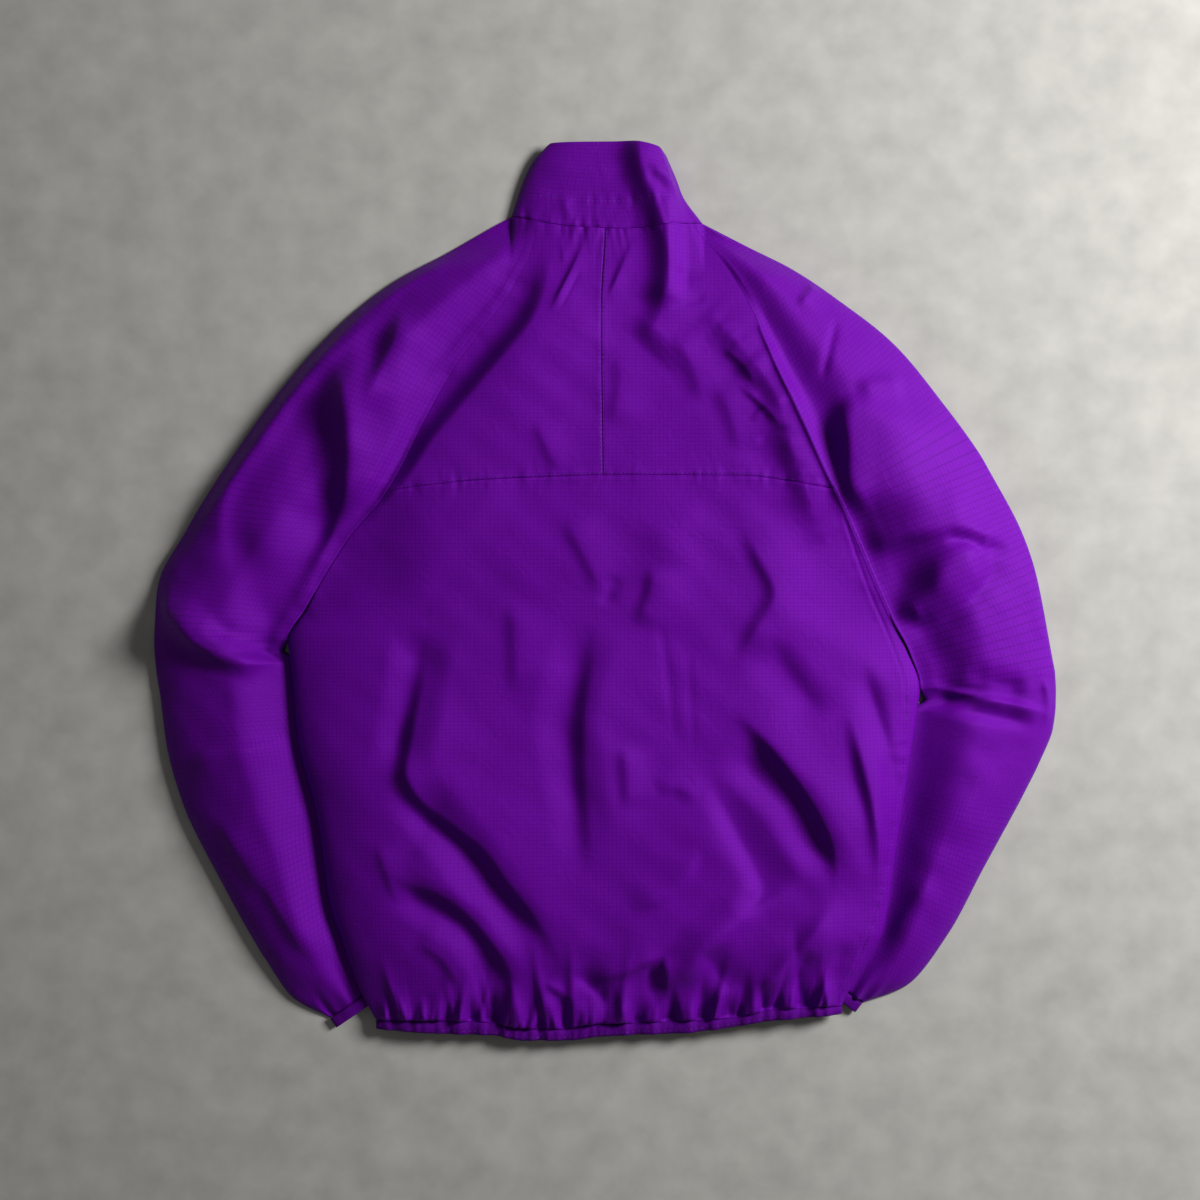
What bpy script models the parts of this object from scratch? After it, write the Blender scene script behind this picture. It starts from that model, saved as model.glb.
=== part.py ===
"""A windbreaker jacket laid face down on a flat surface, with its back on top.

Metres, +Z up. The surface is z = 0, the collar points to +Y and the back of the jacket faces +Z. The origin
is the middle of the outline, on the surface. Left and right are those seen from above.

The jacket is cut as a yoke in two halves, a lower back, two fronts with a zip between them, two raglan
sleeves, a stand collar, and elastic bindings round the hem and the cuffs. Every panel is a sheet: a grid
whose rows and columns run between the seams, moved to its place by a function and given its wall by
Solidify. The fronts lie on the surface, the sleeves are flattened tubes that pass under the sides of the
body, and the back lies on top.
"""

import math
from bisect import bisect_right
from typing import NamedTuple

import bmesh
import bpy
from mathutils import Vector

# ------------------------------------------------------------------------------
# Driving dimensions
# ------------------------------------------------------------------------------
CLOTH = 0.001  # wall of every panel
BINDING = 0.0013  # wall of the hem and cuff bindings, where the cloth is doubled round elastic
SEAM = 0.0003  # gap between two pieces at a seam
SLANT = 0.6 * SEAM  # the same gap, half of it, measured across a slanting seam
FOLD_HEIGHT = 0.0015  # how high a folded edge stands before the upper layer turns inwards
FOLD_INSET = 0.0015  # how far in from a folded edge the lower layer leaves the surface

YOKE_ROWS = 9  # rows of faces from neck to yoke seam
ARMHOLE_ROWS = 5  # from the yoke seam to the underarm
SIDE_ROWS = 12  # from the underarm to the hem
LAST_ROW = YOKE_ROWS + ARMHOLE_ROWS + SIDE_ROWS
UNDERARM_ROW = YOKE_ROWS + ARMHOLE_ROWS
NECK_FADE = 0.05  # depth below the neck seam over which the collar's height fades out
EDGE_FADE = 0.04  # large folds fade out over this beside the body's edge
HEM_FADE = 0.03  # and over this above the hem

HEM_TOP = 0.0125  # top of the back at the hem
SIDE_ROUND = 0.070  # width of the rounding at the side seams
RAGLAN_ROUND = 0.100  # width over which the back rises from the raglan seams
COVERED_TOP = 0.0070  # top of a sleeve where the body's edge crosses it
TUBE_EDGE = 2 * CLOTH + SEAM  # top of a flattened tube at its closed, hidden seam
RAMP = 0.030  # run of the fronts from the surface up on to the sleeves

ZIP_HALF = 0.005  # half the width of the zip
ZIP_WALL = 0.0016
ZIP_GAP = ZIP_HALF + SEAM  # from the middle to a front's edge
ZIP_ROWS = 16
ZIP_LIFT = 0.0043  # how far the slider holds the zip off the surface
ZIP_LIFT_START = 0.215
ZIP_LIFT_END = 0.285
ZIP_LIFT_WIDTH = 0.045

COLLAR_FRONT_BASE = 0.255  # front neckline at the zip
COLLAR_FRONT_TOP = 0.321  # top of the collar at the zip
COLLAR_FRONT_BOW = 1.8  # how evenly the front neckline curves from the zip to the raglan seams
COLLAR_ROWS = 4
COLLAR_TOP = 0.0160  # top of the collar's back
NECK_TOP = 0.0150  # height of the neck seam at the back

CUFF_DEPTH = 0.0095
CUFF_TOP = 0.0076  # top of a cuff
CUFF_DROP = 0.0005  # from there to the sleeve's top beside it
CUFF_COLUMNS = 8
CUFF_ROUNDING = 5  # how square the flattened ring's ends are
NECK_ROUNDING = 4  # the same for the neck
MERGE = 0.000001  # vertices this close are one
BITE = 0.0002  # how far the slider's pieces run into each other

SLIDER_WIDTH = 0.008
SLIDER_LENGTH = 0.009
SLIDER_PLATE = 0.0009
SLIDER_ROOM = 0.0002  # between the zip and each plate
POST_LENGTH = 0.0018
POST_WIDTH = 0.0030
BRIDGE_WIDTH = 0.0018
BRIDGE_BAR = 0.0007
BRIDGE_FLOOR = 0.0001  # gap from the bridge to the surface
TAB_WALL = 0.0014
TAB_WIDTH = 0.0060
TAB_LENGTH = 0.0220
TAB_WINDOW_WIDTH = 0.0032
TAB_WINDOW_LENGTH = 0.0042
TAB_CORNER = 0.0015
TAB_ROOM = 0.0002  # round the tab's crossbar when it turns

CLOTH_COLOUR = (0.105, 0.004, 0.265, 1.0)
BINDING_COLOUR = (0.085, 0.003, 0.225, 1.0)
ZIP_COLOUR = (0.060, 0.003, 0.160, 1.0)
METAL_COLOUR = (0.060, 0.045, 0.080, 1.0)


# ------------------------------------------------------------------------------
# The shape of the pieces, in short tables
# ------------------------------------------------------------------------------
class Edge(NamedTuple):
    """A place on the body's edge: the raglan seam down to the underarm, then the side seam."""

    y: float
    x: float
    top: float  # height of the back here
    under: float  # height of the front's underside here


class Shoulder(NamedTuple):
    """Where the sleeve's fold lies for a place on the raglan seam, and how far the cloth between rises."""

    y: float  # of the place on the seam
    fold_x: float
    fold_y: float
    crown: float


class Arm(NamedTuple):
    """A section of a sleeve below the underarm, from its hidden seam to its outer fold."""

    name: str
    seam: tuple
    fold: tuple
    crown: float


class Reach(NamedTuple):
    """How far in from the body's edge a sleeve lies under it."""

    y: float
    reach: float


class Fold(NamedTuple):
    """A large fold in the top layer, along a bent line. A negative height is a trough."""

    name: str
    start: tuple
    bend: tuple
    end: tuple
    half_width: float
    height: float


EDGES = {
    "left": (
        Edge(y=0.3240, x=-0.0680, top=0.0150, under=0.0),
        Edge(y=0.3115, x=-0.0610, top=0.0145, under=0.0),
        Edge(y=0.2620, x=-0.0805, top=0.0140, under=0.0),
        Edge(y=0.2236, x=-0.1092, top=0.0130, under=0.0),
        Edge(y=0.1905, x=-0.1327, top=0.0120, under=0.0),
        Edge(y=0.1488, x=-0.1562, top=0.0120, under=0.0),
        Edge(y=0.0855, x=-0.1890, top=0.0120, under=0.0),
        Edge(y=0.0444, x=-0.2232, top=0.0118, under=0.0),
        Edge(y=-0.0165, x=-0.2606, top=0.0110, under=0.0040),
        Edge(y=-0.0426, x=-0.2754, top=0.0108, under=0.0085),
        Edge(y=-0.0687, x=-0.2727, top=0.0108, under=0.0085),
        Edge(y=-0.1253, x=-0.2675, top=0.0108, under=0.0085),
        Edge(y=-0.1975, x=-0.2501, top=0.0108, under=0.0085),
        Edge(y=-0.2732, x=-0.2388, top=0.0108, under=0.0085),
        Edge(y=-0.3019, x=-0.2292, top=0.0108, under=0.0085),
        Edge(y=-0.3463, x=-0.2136, top=0.0108, under=0.0085),
        Edge(y=-0.3741, x=-0.1988, top=0.0093, under=0.0070),
    ),
    "right": (
        Edge(y=0.3200, x=0.0765, top=0.0150, under=0.0),
        Edge(y=0.2862, x=0.1022, top=0.0170, under=0.0),
        Edge(y=0.2488, x=0.1240, top=0.0200, under=0.0),
        Edge(y=0.1931, x=0.1475, top=0.0220, under=0.0),
        Edge(y=0.1479, x=0.1692, top=0.0230, under=0.0),
        Edge(y=0.0879, x=0.1971, top=0.0220, under=0.0),
        Edge(y=0.0635, x=0.2101, top=0.0200, under=0.0),
        Edge(y=-0.0244, x=0.2493, top=0.0130, under=0.0),
        Edge(y=-0.0531, x=0.2649, top=0.0115, under=0.0040),
        Edge(y=-0.0853, x=0.2745, top=0.0108, under=0.0085),
        Edge(y=-0.1053, x=0.2719, top=0.0108, under=0.0085),
        Edge(y=-0.1601, x=0.2640, top=0.0108, under=0.0085),
        Edge(y=-0.2271, x=0.2536, top=0.0108, under=0.0085),
        Edge(y=-0.2932, x=0.2432, top=0.0108, under=0.0085),
        Edge(y=-0.3184, x=0.2301, top=0.0108, under=0.0085),
        Edge(y=-0.3497, x=0.2110, top=0.0108, under=0.0085),
        Edge(y=-0.3610, x=0.2066, top=0.0102, under=0.0079),
    ),
}
YOKE_END = {"left": 0.0855, "right": 0.0879}
UNDERARM = {"left": -0.0426, "right": -0.0853}

SHOULDERS = {
    "left": (
        Shoulder(y=0.3240, fold_x=-0.0813, fold_y=0.3270, crown=0.0),
        Shoulder(y=0.3115, fold_x=-0.0960, fold_y=0.3190, crown=0.002),
        Shoulder(y=0.2620, fold_x=-0.1380, fold_y=0.2950, crown=0.008),
        Shoulder(y=0.2236, fold_x=-0.1805, fold_y=0.2723, crown=0.014),
        Shoulder(y=0.1905, fold_x=-0.2179, fold_y=0.2445, crown=0.016),
        Shoulder(y=0.1488, fold_x=-0.2710, fold_y=0.1905, crown=0.018),
        Shoulder(y=0.0855, fold_x=-0.3241, fold_y=0.1192, crown=0.020),
        Shoulder(y=0.0444, fold_x=-0.3641, fold_y=0.0557, crown=0.022),
        Shoulder(y=-0.0165, fold_x=-0.3911, fold_y=0.0, crown=0.022),
        Shoulder(y=-0.0426, fold_x=-0.3937, fold_y=-0.0426, crown=0.022),
    ),
    "right": (
        Shoulder(y=0.3200, fold_x=0.0855, fold_y=0.3210, crown=0.0),
        Shoulder(y=0.2862, fold_x=0.1250, fold_y=0.3007, crown=0.004),
        Shoulder(y=0.2488, fold_x=0.1650, fold_y=0.2805, crown=0.008),
        Shoulder(y=0.1931, fold_x=0.2100, fold_y=0.2500, crown=0.011),
        Shoulder(y=0.1479, fold_x=0.2519, fold_y=0.2166, crown=0.013),
        Shoulder(y=0.0879, fold_x=0.3015, fold_y=0.1566, crown=0.015),
        Shoulder(y=0.0635, fold_x=0.3319, fold_y=0.1131, crown=0.016),
        Shoulder(y=-0.0244, fold_x=0.3737, fold_y=0.0270, crown=0.020),
        Shoulder(y=-0.0853, fold_x=0.3937, fold_y=-0.0705, crown=0.020),
    ),
}

ARMS = {
    "left": (
        Arm("underarm", seam=(-0.2754, -0.0426), fold=(-0.3937, -0.0426), crown=0.022),
        Arm("tuck", seam=(-0.2800, -0.0520), fold=(-0.3932, -0.0540), crown=0.022),
        Arm("bicep", seam=(-0.2450, -0.0660), fold=(-0.3915, -0.0720), crown=0.024),
        Arm("above elbow", seam=(-0.1953, -0.0861), fold=(-0.3885, -0.0905), crown=0.024),
        Arm("elbow", seam=(-0.1649, -0.1253), fold=(-0.3824, -0.1366), crown=0.024),
        Arm("below elbow", seam=(-0.1605, -0.1601), fold=(-0.3684, -0.1862), crown=0.024),
        Arm("forearm", seam=(-0.1649, -0.1905), fold=(-0.3345, -0.2549), crown=0.022),
        Arm("low forearm", seam=(-0.1623, -0.2445), fold=(-0.2980, -0.3193), crown=0.018),
        Arm("wrist", seam=(-0.1570, -0.2906), fold=(-0.2710, -0.3567), crown=0.010),
        Arm("cuff", seam=(-0.1614, -0.3184), fold=(-0.2397, -0.3732), crown=0.002),
    ),
    "right": (
        Arm("underarm", seam=(0.2745, -0.0853), fold=(0.3937, -0.0705), crown=0.020),
        Arm("tuck", seam=(0.2790, -0.0950), fold=(0.3945, -0.0850), crown=0.020),
        Arm("bicep", seam=(0.2500, -0.1090), fold=(0.3943, -0.1000), crown=0.022),
        Arm("above elbow", seam=(0.2092, -0.1279), fold=(0.3919, -0.1201), crown=0.022),
        Arm("elbow", seam=(0.1920, -0.1420), fold=(0.3800, -0.1500), crown=0.022),
        Arm("below elbow", seam=(0.1805, -0.1557), fold=(0.3650, -0.1801), crown=0.022),
        Arm("forearm", seam=(0.1701, -0.1818), fold=(0.3310, -0.2427), crown=0.020),
        Arm("low forearm", seam=(0.1683, -0.2340), fold=(0.3006, -0.2993), crown=0.016),
        Arm("wrist", seam=(0.1614, -0.2732), fold=(0.2632, -0.3454), crown=0.010),
        Arm("cuff", seam=(0.1492, -0.3019), fold=(0.2249, -0.3602), crown=0.002),
    ),
}

REACHES = {
    "left": (
        Reach(y=-0.0426, reach=0.030),
        Reach(y=-0.0620, reach=0.037),
        Reach(y=-0.0861, reach=0.084),
        Reach(y=-0.1253, reach=0.108),
        Reach(y=-0.1601, reach=0.105),
        Reach(y=-0.1905, reach=0.094),
        Reach(y=-0.2445, reach=0.088),
        Reach(y=-0.2906, reach=0.084),
        Reach(y=-0.3254, reach=0.078),
        Reach(y=-0.3450, reach=0.048),
        Reach(y=-0.3741, reach=0.030),
    ),
    "right": (
        Reach(y=-0.0853, reach=0.030),
        Reach(y=-0.1090, reach=0.036),
        Reach(y=-0.1279, reach=0.067),
        Reach(y=-0.1557, reach=0.091),
        Reach(y=-0.1818, reach=0.097),
        Reach(y=-0.2340, reach=0.091),
        Reach(y=-0.2732, reach=0.091),
        Reach(y=-0.3062, reach=0.102),
        Reach(y=-0.3300, reach=0.060),
        Reach(y=-0.3610, reach=0.030),
    ),
}

# Curves across the body, as rows of x and y.
NECK_SEAM = ((-0.0813, 0.3270), (-0.0680, 0.3240), (-0.0509, 0.3193), (-0.0178, 0.3158), (0.0126, 0.3145),
             (0.0431, 0.3155), (0.0666, 0.3188), (0.0765, 0.3200), (0.0855, 0.3210))
YOKE_SEAM = ((-0.1890, 0.0855), (-0.1779, 0.0879), (-0.1431, 0.0922), (-0.1083, 0.0957), (-0.0552, 0.0983),
             (-0.0013, 0.1001), (0.0518, 0.1001), (0.1240, 0.0995), (0.1649, 0.0935), (0.1971, 0.0879))
HEM_SEAM = ((-0.1988, -0.3741), (-0.1580, -0.3735), (-0.0987, -0.3750), (-0.0770, -0.3802),
            (-0.0378, -0.3808), (-0.0100, -0.3770), (0.0310, -0.3752), (0.0740, -0.3735), (0.1135, -0.3705),
            (0.1466, -0.3632), (0.2066, -0.3610))
HEM_EDGE = ((-0.1988, -0.3812), (-0.1431, -0.3845), (-0.0987, -0.3863), (-0.0709, -0.3905),
            (-0.0326, -0.3906), (-0.0048, -0.3871), (0.0309, -0.3854), (0.0631, -0.3845), (0.1135, -0.3785),
            (0.1353, -0.3741), (0.1579, -0.3718), (0.2066, -0.3680))
CENTRE_BACK = ((0.3145, 0.0004), (0.2793, -0.0013), (0.2488, -0.0028), (0.2097, -0.0030), (0.1053, -0.0018),
               (-0.3800, 0.0))  # y, x

# Height of the middle of the back, as rows of y and z.
BACK_CROWN = ((0.3145, 0.0150), (0.2700, 0.0180), (0.2000, 0.0205), (0.1000, 0.0220), (0.0, 0.0240),
              (-0.1000, 0.0270), (-0.2000, 0.0300), (-0.3000, 0.0300), (-0.3450, 0.0220), (-0.3770, HEM_TOP))

# The collar's folded sides, as rows of share of its height, x and y.
COLLAR_SIDES = {
    "left": ((0.0, -0.0813, 0.3270), (0.5, -0.0709, 0.3580), (0.8, -0.0620, 0.3760), (1.0, -0.0535, 0.3850)),
    "right": ((0.0, 0.0855, 0.3210), (0.4, 0.0685, 0.3445), (0.7, 0.0630, 0.3590), (1.0, 0.0540, 0.3800)),
}
COLLAR_CREST = ((-0.0535, 0.3850), (-0.0457, 0.3895), (0.0135, 0.3898), (0.0448, 0.3854), (0.0540, 0.3800))

FOLDS = (
    Fold("long trough, upper", (-0.156, -0.030), (-0.165, -0.095), (-0.176, -0.160), 0.030, -0.006),
    Fold("long trough, lower", (-0.176, -0.160), (-0.120, -0.225), (-0.045, -0.335), 0.030, -0.008),
    Fold("flank trough", (-0.190, -0.250), (-0.120, -0.290), (-0.080, -0.350), 0.024, -0.006),
    Fold("middle trough", (-0.013, -0.025), (-0.035, -0.110), (-0.013, -0.240), 0.030, -0.005),
    Fold("hip trough", (0.105, -0.130), (0.160, -0.185), (0.200, -0.250), 0.028, -0.008),
    Fold("hip ridge", (0.053, -0.350), (0.085, -0.300), (0.140, -0.255), 0.024, 0.006),
    Fold("left elbow fold", (-0.375, -0.015), (-0.335, -0.050), (-0.290, -0.062), 0.022, 0.007),
    Fold("left upper arm valley", (-0.190, 0.235), (-0.200, 0.165), (-0.215, 0.120), 0.026, -0.006),
    Fold("right upper arm ridge", (0.213, 0.172), (0.212, 0.120), (0.212, 0.060), 0.022, 0.006),
    Fold("right elbow fold", (0.265, 0.000), (0.320, 0.045), (0.335, 0.040), 0.022, 0.006),
    Fold("right elbow pleat", (0.278, -0.088), (0.320, -0.097), (0.375, -0.105), 0.020, -0.006),
)


# ------------------------------------------------------------------------------
# Curves and heights
# ------------------------------------------------------------------------------
def mix(first, second, share):
    return first + (second - first) * share


def ease(share):
    """0 to 1 along an S, for a share that may run past either end."""
    share = min(max(share, 0.0), 1.0)
    return share * share * (3 - 2 * share)


def curve(rows, key):
    """The value at key on a smooth curve through rows of (key, value), which never swings past its rows."""
    rows = sorted(rows)
    keys = [row[0] for row in rows]
    values = [row[1] for row in rows]
    key = min(max(key, keys[0]), keys[-1])
    steps = [b - a for a, b in zip(keys, keys[1:])]
    slopes = [(b - a) / step for a, b, step in zip(values, values[1:], steps)]
    tangents = [slopes[0]]
    for before, after in zip(slopes, slopes[1:]):
        level = before * after <= 0
        tangents.append(0.0 if level else 2 * before * after / (before + after))
    tangents.append(slopes[-1])
    i = min(bisect_right(keys, key), len(steps)) - 1
    t = (key - keys[i]) / steps[i]
    bend = tangents[i] * t * (1 - t) ** 2 - tangents[i + 1] * t * t * (1 - t)
    return mix(values[i], values[i + 1], ease(t)) + steps[i] * bend


def edge_value(side, y, column):
    return curve([(row.y, getattr(row, column)) for row in EDGES[side]], y)


def station(side, row):
    """y of a row of the body's grid at the body's edge. The sleeve's rows start at the same places."""
    neck = EDGES[side][0].y
    hem = EDGES[side][-1].y
    if row <= YOKE_ROWS:
        return mix(neck, YOKE_END[side], row / YOKE_ROWS)
    if row <= UNDERARM_ROW:
        return mix(YOKE_END[side], UNDERARM[side], (row - YOKE_ROWS) / ARMHOLE_ROWS)
    return mix(UNDERARM[side], hem, (row - UNDERARM_ROW) / SIDE_ROWS)


def fold_height(x, y):
    """What the large folds add to the top layer at a place."""
    total = 0.0
    for fold in FOLDS:
        best = 0.0
        for a, b, first in ((fold.start, fold.bend, True), (fold.bend, fold.end, False)):
            along = Vector(b) - Vector(a)
            share = (Vector((x, y)) - Vector(a)).dot(along) / along.length_squared
            share = min(max(share, 0.0), 1.0)
            away = (Vector(a) + along * share - Vector((x, y))).length
            taper = share if first else 1.0 - share
            best = max(best, (1 - ease(away / fold.half_width)) * ease(2 * taper))
        total += fold.height * best
    return total


def neck_height(x):
    """Height of the top layer along the neck seam, round from one folded side of the collar to the other."""
    left = NECK_SEAM[0][0]
    right = NECK_SEAM[-1][0]
    across = min(abs(2 * (x - left) / (right - left) - 1), 1.0)
    return mix(FOLD_HEIGHT, NECK_TOP, math.sqrt(1 - across**NECK_ROUNDING))


def below_neck(x, y):
    """0 on the neck seam, 1 well below it."""
    return ease((curve(NECK_SEAM, x) - y) / NECK_FADE)


def zip_lift(x, y):
    """How far the slider and its tab hold the fronts off the surface."""
    lengthwise = ease((y - ZIP_LIFT_START) / (ZIP_LIFT_END - ZIP_LIFT_START))
    return ZIP_LIFT * lengthwise * (1 - ease((abs(x) - ZIP_GAP) / ZIP_LIFT_WIDTH))


# ------------------------------------------------------------------------------
# The body: places on the back and on the fronts
# ------------------------------------------------------------------------------
BACK_SHARES = (0.0, 0.012, 0.03, 0.07, 0.14, 0.25, 0.39, 0.57, 0.78, 1.0)  # from the edge to the centre back
HALF_COLUMNS = len(BACK_SHARES) - 1
FRONT_COLUMNS = 8
LEAST_AWAY = 0.10  # share of a front's width that its first columns may take above the underarm
BOW_ROWS = 6  # rows over which the front neckline's curve straightens out


def upright(side, row):
    """1 where the back turns down to a side seam, 0 where it runs on into a sleeve."""
    return ease((row - UNDERARM_ROW + 2) / 2)


def back_share(column, turn):
    """Share of the way from the body's edge to the centre. The first two columns meet at a side seam."""
    return mix(BACK_SHARES[column], 0.0, turn) if column == 1 else BACK_SHARES[column]


def back_height(side, row, column, x, y):
    turn = upright(side, row)
    away = abs(x - edge_value(side, y, "x"))
    crown = curve(BACK_CROWN, y)
    top = edge_value(side, y, "top")
    low = edge_value(side, y, "under") + CLOTH + SEAM
    open_edge = mix(top, crown, ease(away / RAGLAN_ROUND))
    turned = low
    if column > 0:
        round_share = math.sqrt(1 - (1 - min(away / SIDE_ROUND, 1.0)) ** 2)
        turned = mix(low + FOLD_HEIGHT, crown, round_share)
    hem = station(side, LAST_ROW)
    fade = ease(away / EDGE_FADE) * ease((y - hem) / HEM_FADE)
    height = mix(open_edge, turned, turn) + fold_height(x, y) * fade
    return mix(neck_height(x), height, below_neck(x, y))


def back_point(side, row, column):
    """A place on the back's upper surface. Rows run from neck to hem, columns from edge to centre."""
    share = back_share(column, upright(side, row))
    other = "right" if side == "left" else "left"
    if row <= YOKE_ROWS:
        rows = (0, YOKE_ROWS)
        upper, lower = NECK_SEAM, YOKE_SEAM
    else:
        rows = (YOKE_ROWS, LAST_ROW)
        upper, lower = YOKE_SEAM, HEM_SEAM
    ends = []
    for end_row, seam in zip(rows, (upper, lower)):
        edge_y = station(side, end_row)
        end_x = mix(edge_value(side, edge_y, "x"), curve(CENTRE_BACK, edge_y), share)
        ends.append(curve(seam, end_x))
    down = [(station(s, rows[0]) - station(s, row)) / (station(s, rows[0]) - station(s, rows[1]))
            for s in (side, other)]
    y = mix(ends[0], ends[1], mix(down[0], down[1], share / 2))
    x = mix(edge_value(side, station(side, row), "x"), curve(CENTRE_BACK, y), share)
    return Vector((x, y, back_height(side, row, column, x, y)))


def front_reach(side, row):
    return curve(REACHES[side], station(side, row)) if row >= UNDERARM_ROW else REACHES[side][0].reach


def front_point(side, row, column):
    """A place on a front's underside. Rows run from neck to hem, columns from the edge to the zip."""
    sign = -1 if side == "left" else 1
    edge_y = station(side, row)
    neck_y = station(side, 0)
    down = (neck_y - edge_y) / (neck_y - station(side, LAST_ROW))
    edge_x = edge_value(side, edge_y, "x")
    reach = front_reach(side, row)
    width = abs(edge_x) - ZIP_GAP
    if column <= 2:
        away = reach * column / 2
    elif column == 3:
        away = reach + RAMP
    else:
        away = mix(reach + RAMP, width, (column - 3) / (FRONT_COLUMNS - 3))
    if row < UNDERARM_ROW:
        away = min(away, width * mix(LEAST_AWAY, 1.0, column / FRONT_COLUMNS))
    share = away / width
    x = edge_x - sign * away
    zip_y = mix(COLLAR_FRONT_BASE, curve(HEM_SEAM, 0.0), down)
    bow = mix(COLLAR_FRONT_BOW, 1.0, min(row / BOW_ROWS, 1.0))
    y = mix(zip_y, edge_y, (1 - share) ** bow)
    if row == LAST_ROW:
        y = curve(HEM_SEAM, x)
    lifted = edge_value(side, edge_y, "under") if column <= 2 else 0.0
    return Vector((x, y, max(lifted, zip_lift(x, y))))


# ------------------------------------------------------------------------------
# The sleeves
# ------------------------------------------------------------------------------
ARM_STEPS = 2  # rows of faces between two rows of an arm's table
SLEEVE_SHARES = (0.0, 0.12, 0.45, 1.0)  # of the covered part
OPEN_SHARES = (0.10, 0.24, 0.42, 0.60, 0.76, 0.89, 0.97, 1.0)  # of the part beyond the body's edge
UNDER_SHARES = (0.50, 0.25, 0.0)  # of the lower layer, past its inset fold, back to the seam
UPPER_COLUMNS = len(SLEEVE_SHARES) + len(OPEN_SHARES)
SLEEVE_COLUMNS = UPPER_COLUMNS + 1 + len(UNDER_SHARES)
LEAST_COVERED = 0.12  # share of a section that takes the covered columns where nothing covers it
SHOULDER_STEP = 0.001  # rise from the raglan seam over those columns
BULGE_START = 0.45  # share of the open part over which the crown rises
SEAM_LIFT_END = 0.25  # share of the width over which the lower layer comes down from the seam
FOLD_FADE_IN, FOLD_FADE_OUT = 0.15, 0.12  # shares of the width over which large folds fade at its edges
COVER_FADE = 0.10  # and beyond the body's edge


class Section(NamedTuple):
    """A worked-out section of a sleeve."""

    seam: Vector
    fold: Vector
    seam_top: float  # height of the upper layer at the seam
    seam_under: float  # height of the lower layer's underside at the seam
    covered: float  # share of the width that lies under the body
    covered_top: float  # height of the upper layer at the end of that share
    crown: float


def covered_share(side, seam, fold):
    """Share of a section, from its seam, that lies under the body."""
    sign = -1 if side == "left" else 1
    low, high = 0.0, 1.0
    for _ in range(24):
        middle = (low + high) / 2
        place = seam.lerp(fold, middle)
        inside = sign * place.x < sign * edge_value(side, place.y, "x")
        low, high = (middle, high) if inside else (low, middle)
    return low


def shoulder_section(side, row):
    sign = -1 if side == "left" else 1
    y = station(side, row)
    seam = Vector((edge_value(side, y, "x") + sign * SLANT, y))
    fold_x, fold_y, crown = (curve([(r.y, getattr(r, column)) for r in SHOULDERS[side]], y)
                             for column in ("fold_x", "fold_y", "crown"))
    top = edge_value(side, y, "top")
    fold = Vector((fold_x, fold_y))
    return Section(seam, fold, top, edge_value(side, y, "under"), LEAST_COVERED, top + SHOULDER_STEP, crown)


def arm_section(side, place):
    """A section below the underarm, at a place counted in rows of the arm's table."""
    rows = ARMS[side]
    seam, fold = (
        Vector(curve([(i, getattr(row, column)[k]) for i, row in enumerate(rows)], place) for k in (0, 1))
        for column in ("seam", "fold")
    )
    crown = curve([(i, row.crown) for i, row in enumerate(rows)], place)
    covered = max(covered_share(side, seam, fold), LEAST_COVERED)
    covered_top = mix(COVERED_TOP, CUFF_TOP - CUFF_DROP, ease(place - len(rows) + 2))
    return Section(seam, fold, TUBE_EDGE, 0.0, covered, covered_top, crown)


def sleeve_sections(side):
    sections = [shoulder_section(side, row) for row in range(UNDERARM_ROW + 1)]
    last = len(ARMS[side]) - 1
    places = [1.0] + [1 + step / ARM_STEPS for step in range(1, (last - 1) * ARM_STEPS + 1)]
    return sections + [arm_section(side, place) for place in places]


def sleeve_point(section, column):
    """A place on the outside of a sleeve: over the top from the seam to the fold, then back underneath."""
    width = (section.fold - section.seam).length
    covered_columns = len(SLEEVE_SHARES)
    if column < covered_columns:
        share = SLEEVE_SHARES[column] * section.covered
        rise = math.sqrt(1 - (1 - SLEEVE_SHARES[column]) ** 4)
        height = mix(section.seam_top, section.covered_top, rise)
    elif column < UPPER_COLUMNS:
        beyond = OPEN_SHARES[column - covered_columns]
        share = mix(section.covered, 1.0, beyond)
        bulge = math.sqrt(1 - beyond**2) * ease(beyond / BULGE_START)
        height = mix(section.covered_top, FOLD_HEIGHT, beyond**2) + section.crown * bulge
    elif column == UPPER_COLUMNS:
        share = 1 - FOLD_INSET / width
        height = 0.0
    else:
        share = UNDER_SHARES[column - UPPER_COLUMNS - 1]
        height = section.seam_under * max(1 - share / SEAM_LIFT_END, 0.0)
    place = section.seam.lerp(section.fold, share)
    if column < UPPER_COLUMNS:
        fade = ease(share / FOLD_FADE_IN) * ease((1 - share) / FOLD_FADE_OUT)
        below_underarm = section.seam_top == TUBE_EDGE
        covered_fade = ease((share - section.covered) / COVER_FADE) if below_underarm else 1.0
        height += fold_height(place.x, place.y) * fade * covered_fade
        height = mix(neck_height(place.x), height, below_neck(place.x, place.y))
    return Vector((place.x, place.y, height))


# ------------------------------------------------------------------------------
# Making the objects
# ------------------------------------------------------------------------------
for old in list(bpy.data.objects):
    bpy.data.objects.remove(old, do_unlink=True)

jacket = bpy.data.collections.new("windbreaker_jacket")
helpers = bpy.data.collections.new("helpers")  # the pieces that the slider is joined from
for group in (jacket, helpers):
    bpy.context.scene.collection.children.link(group)


def material(name, colour, roughness, metallic=0.0):
    made = bpy.data.materials.new(name)
    made.use_nodes = True
    shader = made.node_tree.nodes["Principled BSDF"]
    shader.inputs["Base Color"].default_value = colour
    shader.inputs["Roughness"].default_value = roughness
    shader.inputs["Metallic"].default_value = metallic
    made.diffuse_color = colour
    return made


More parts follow.
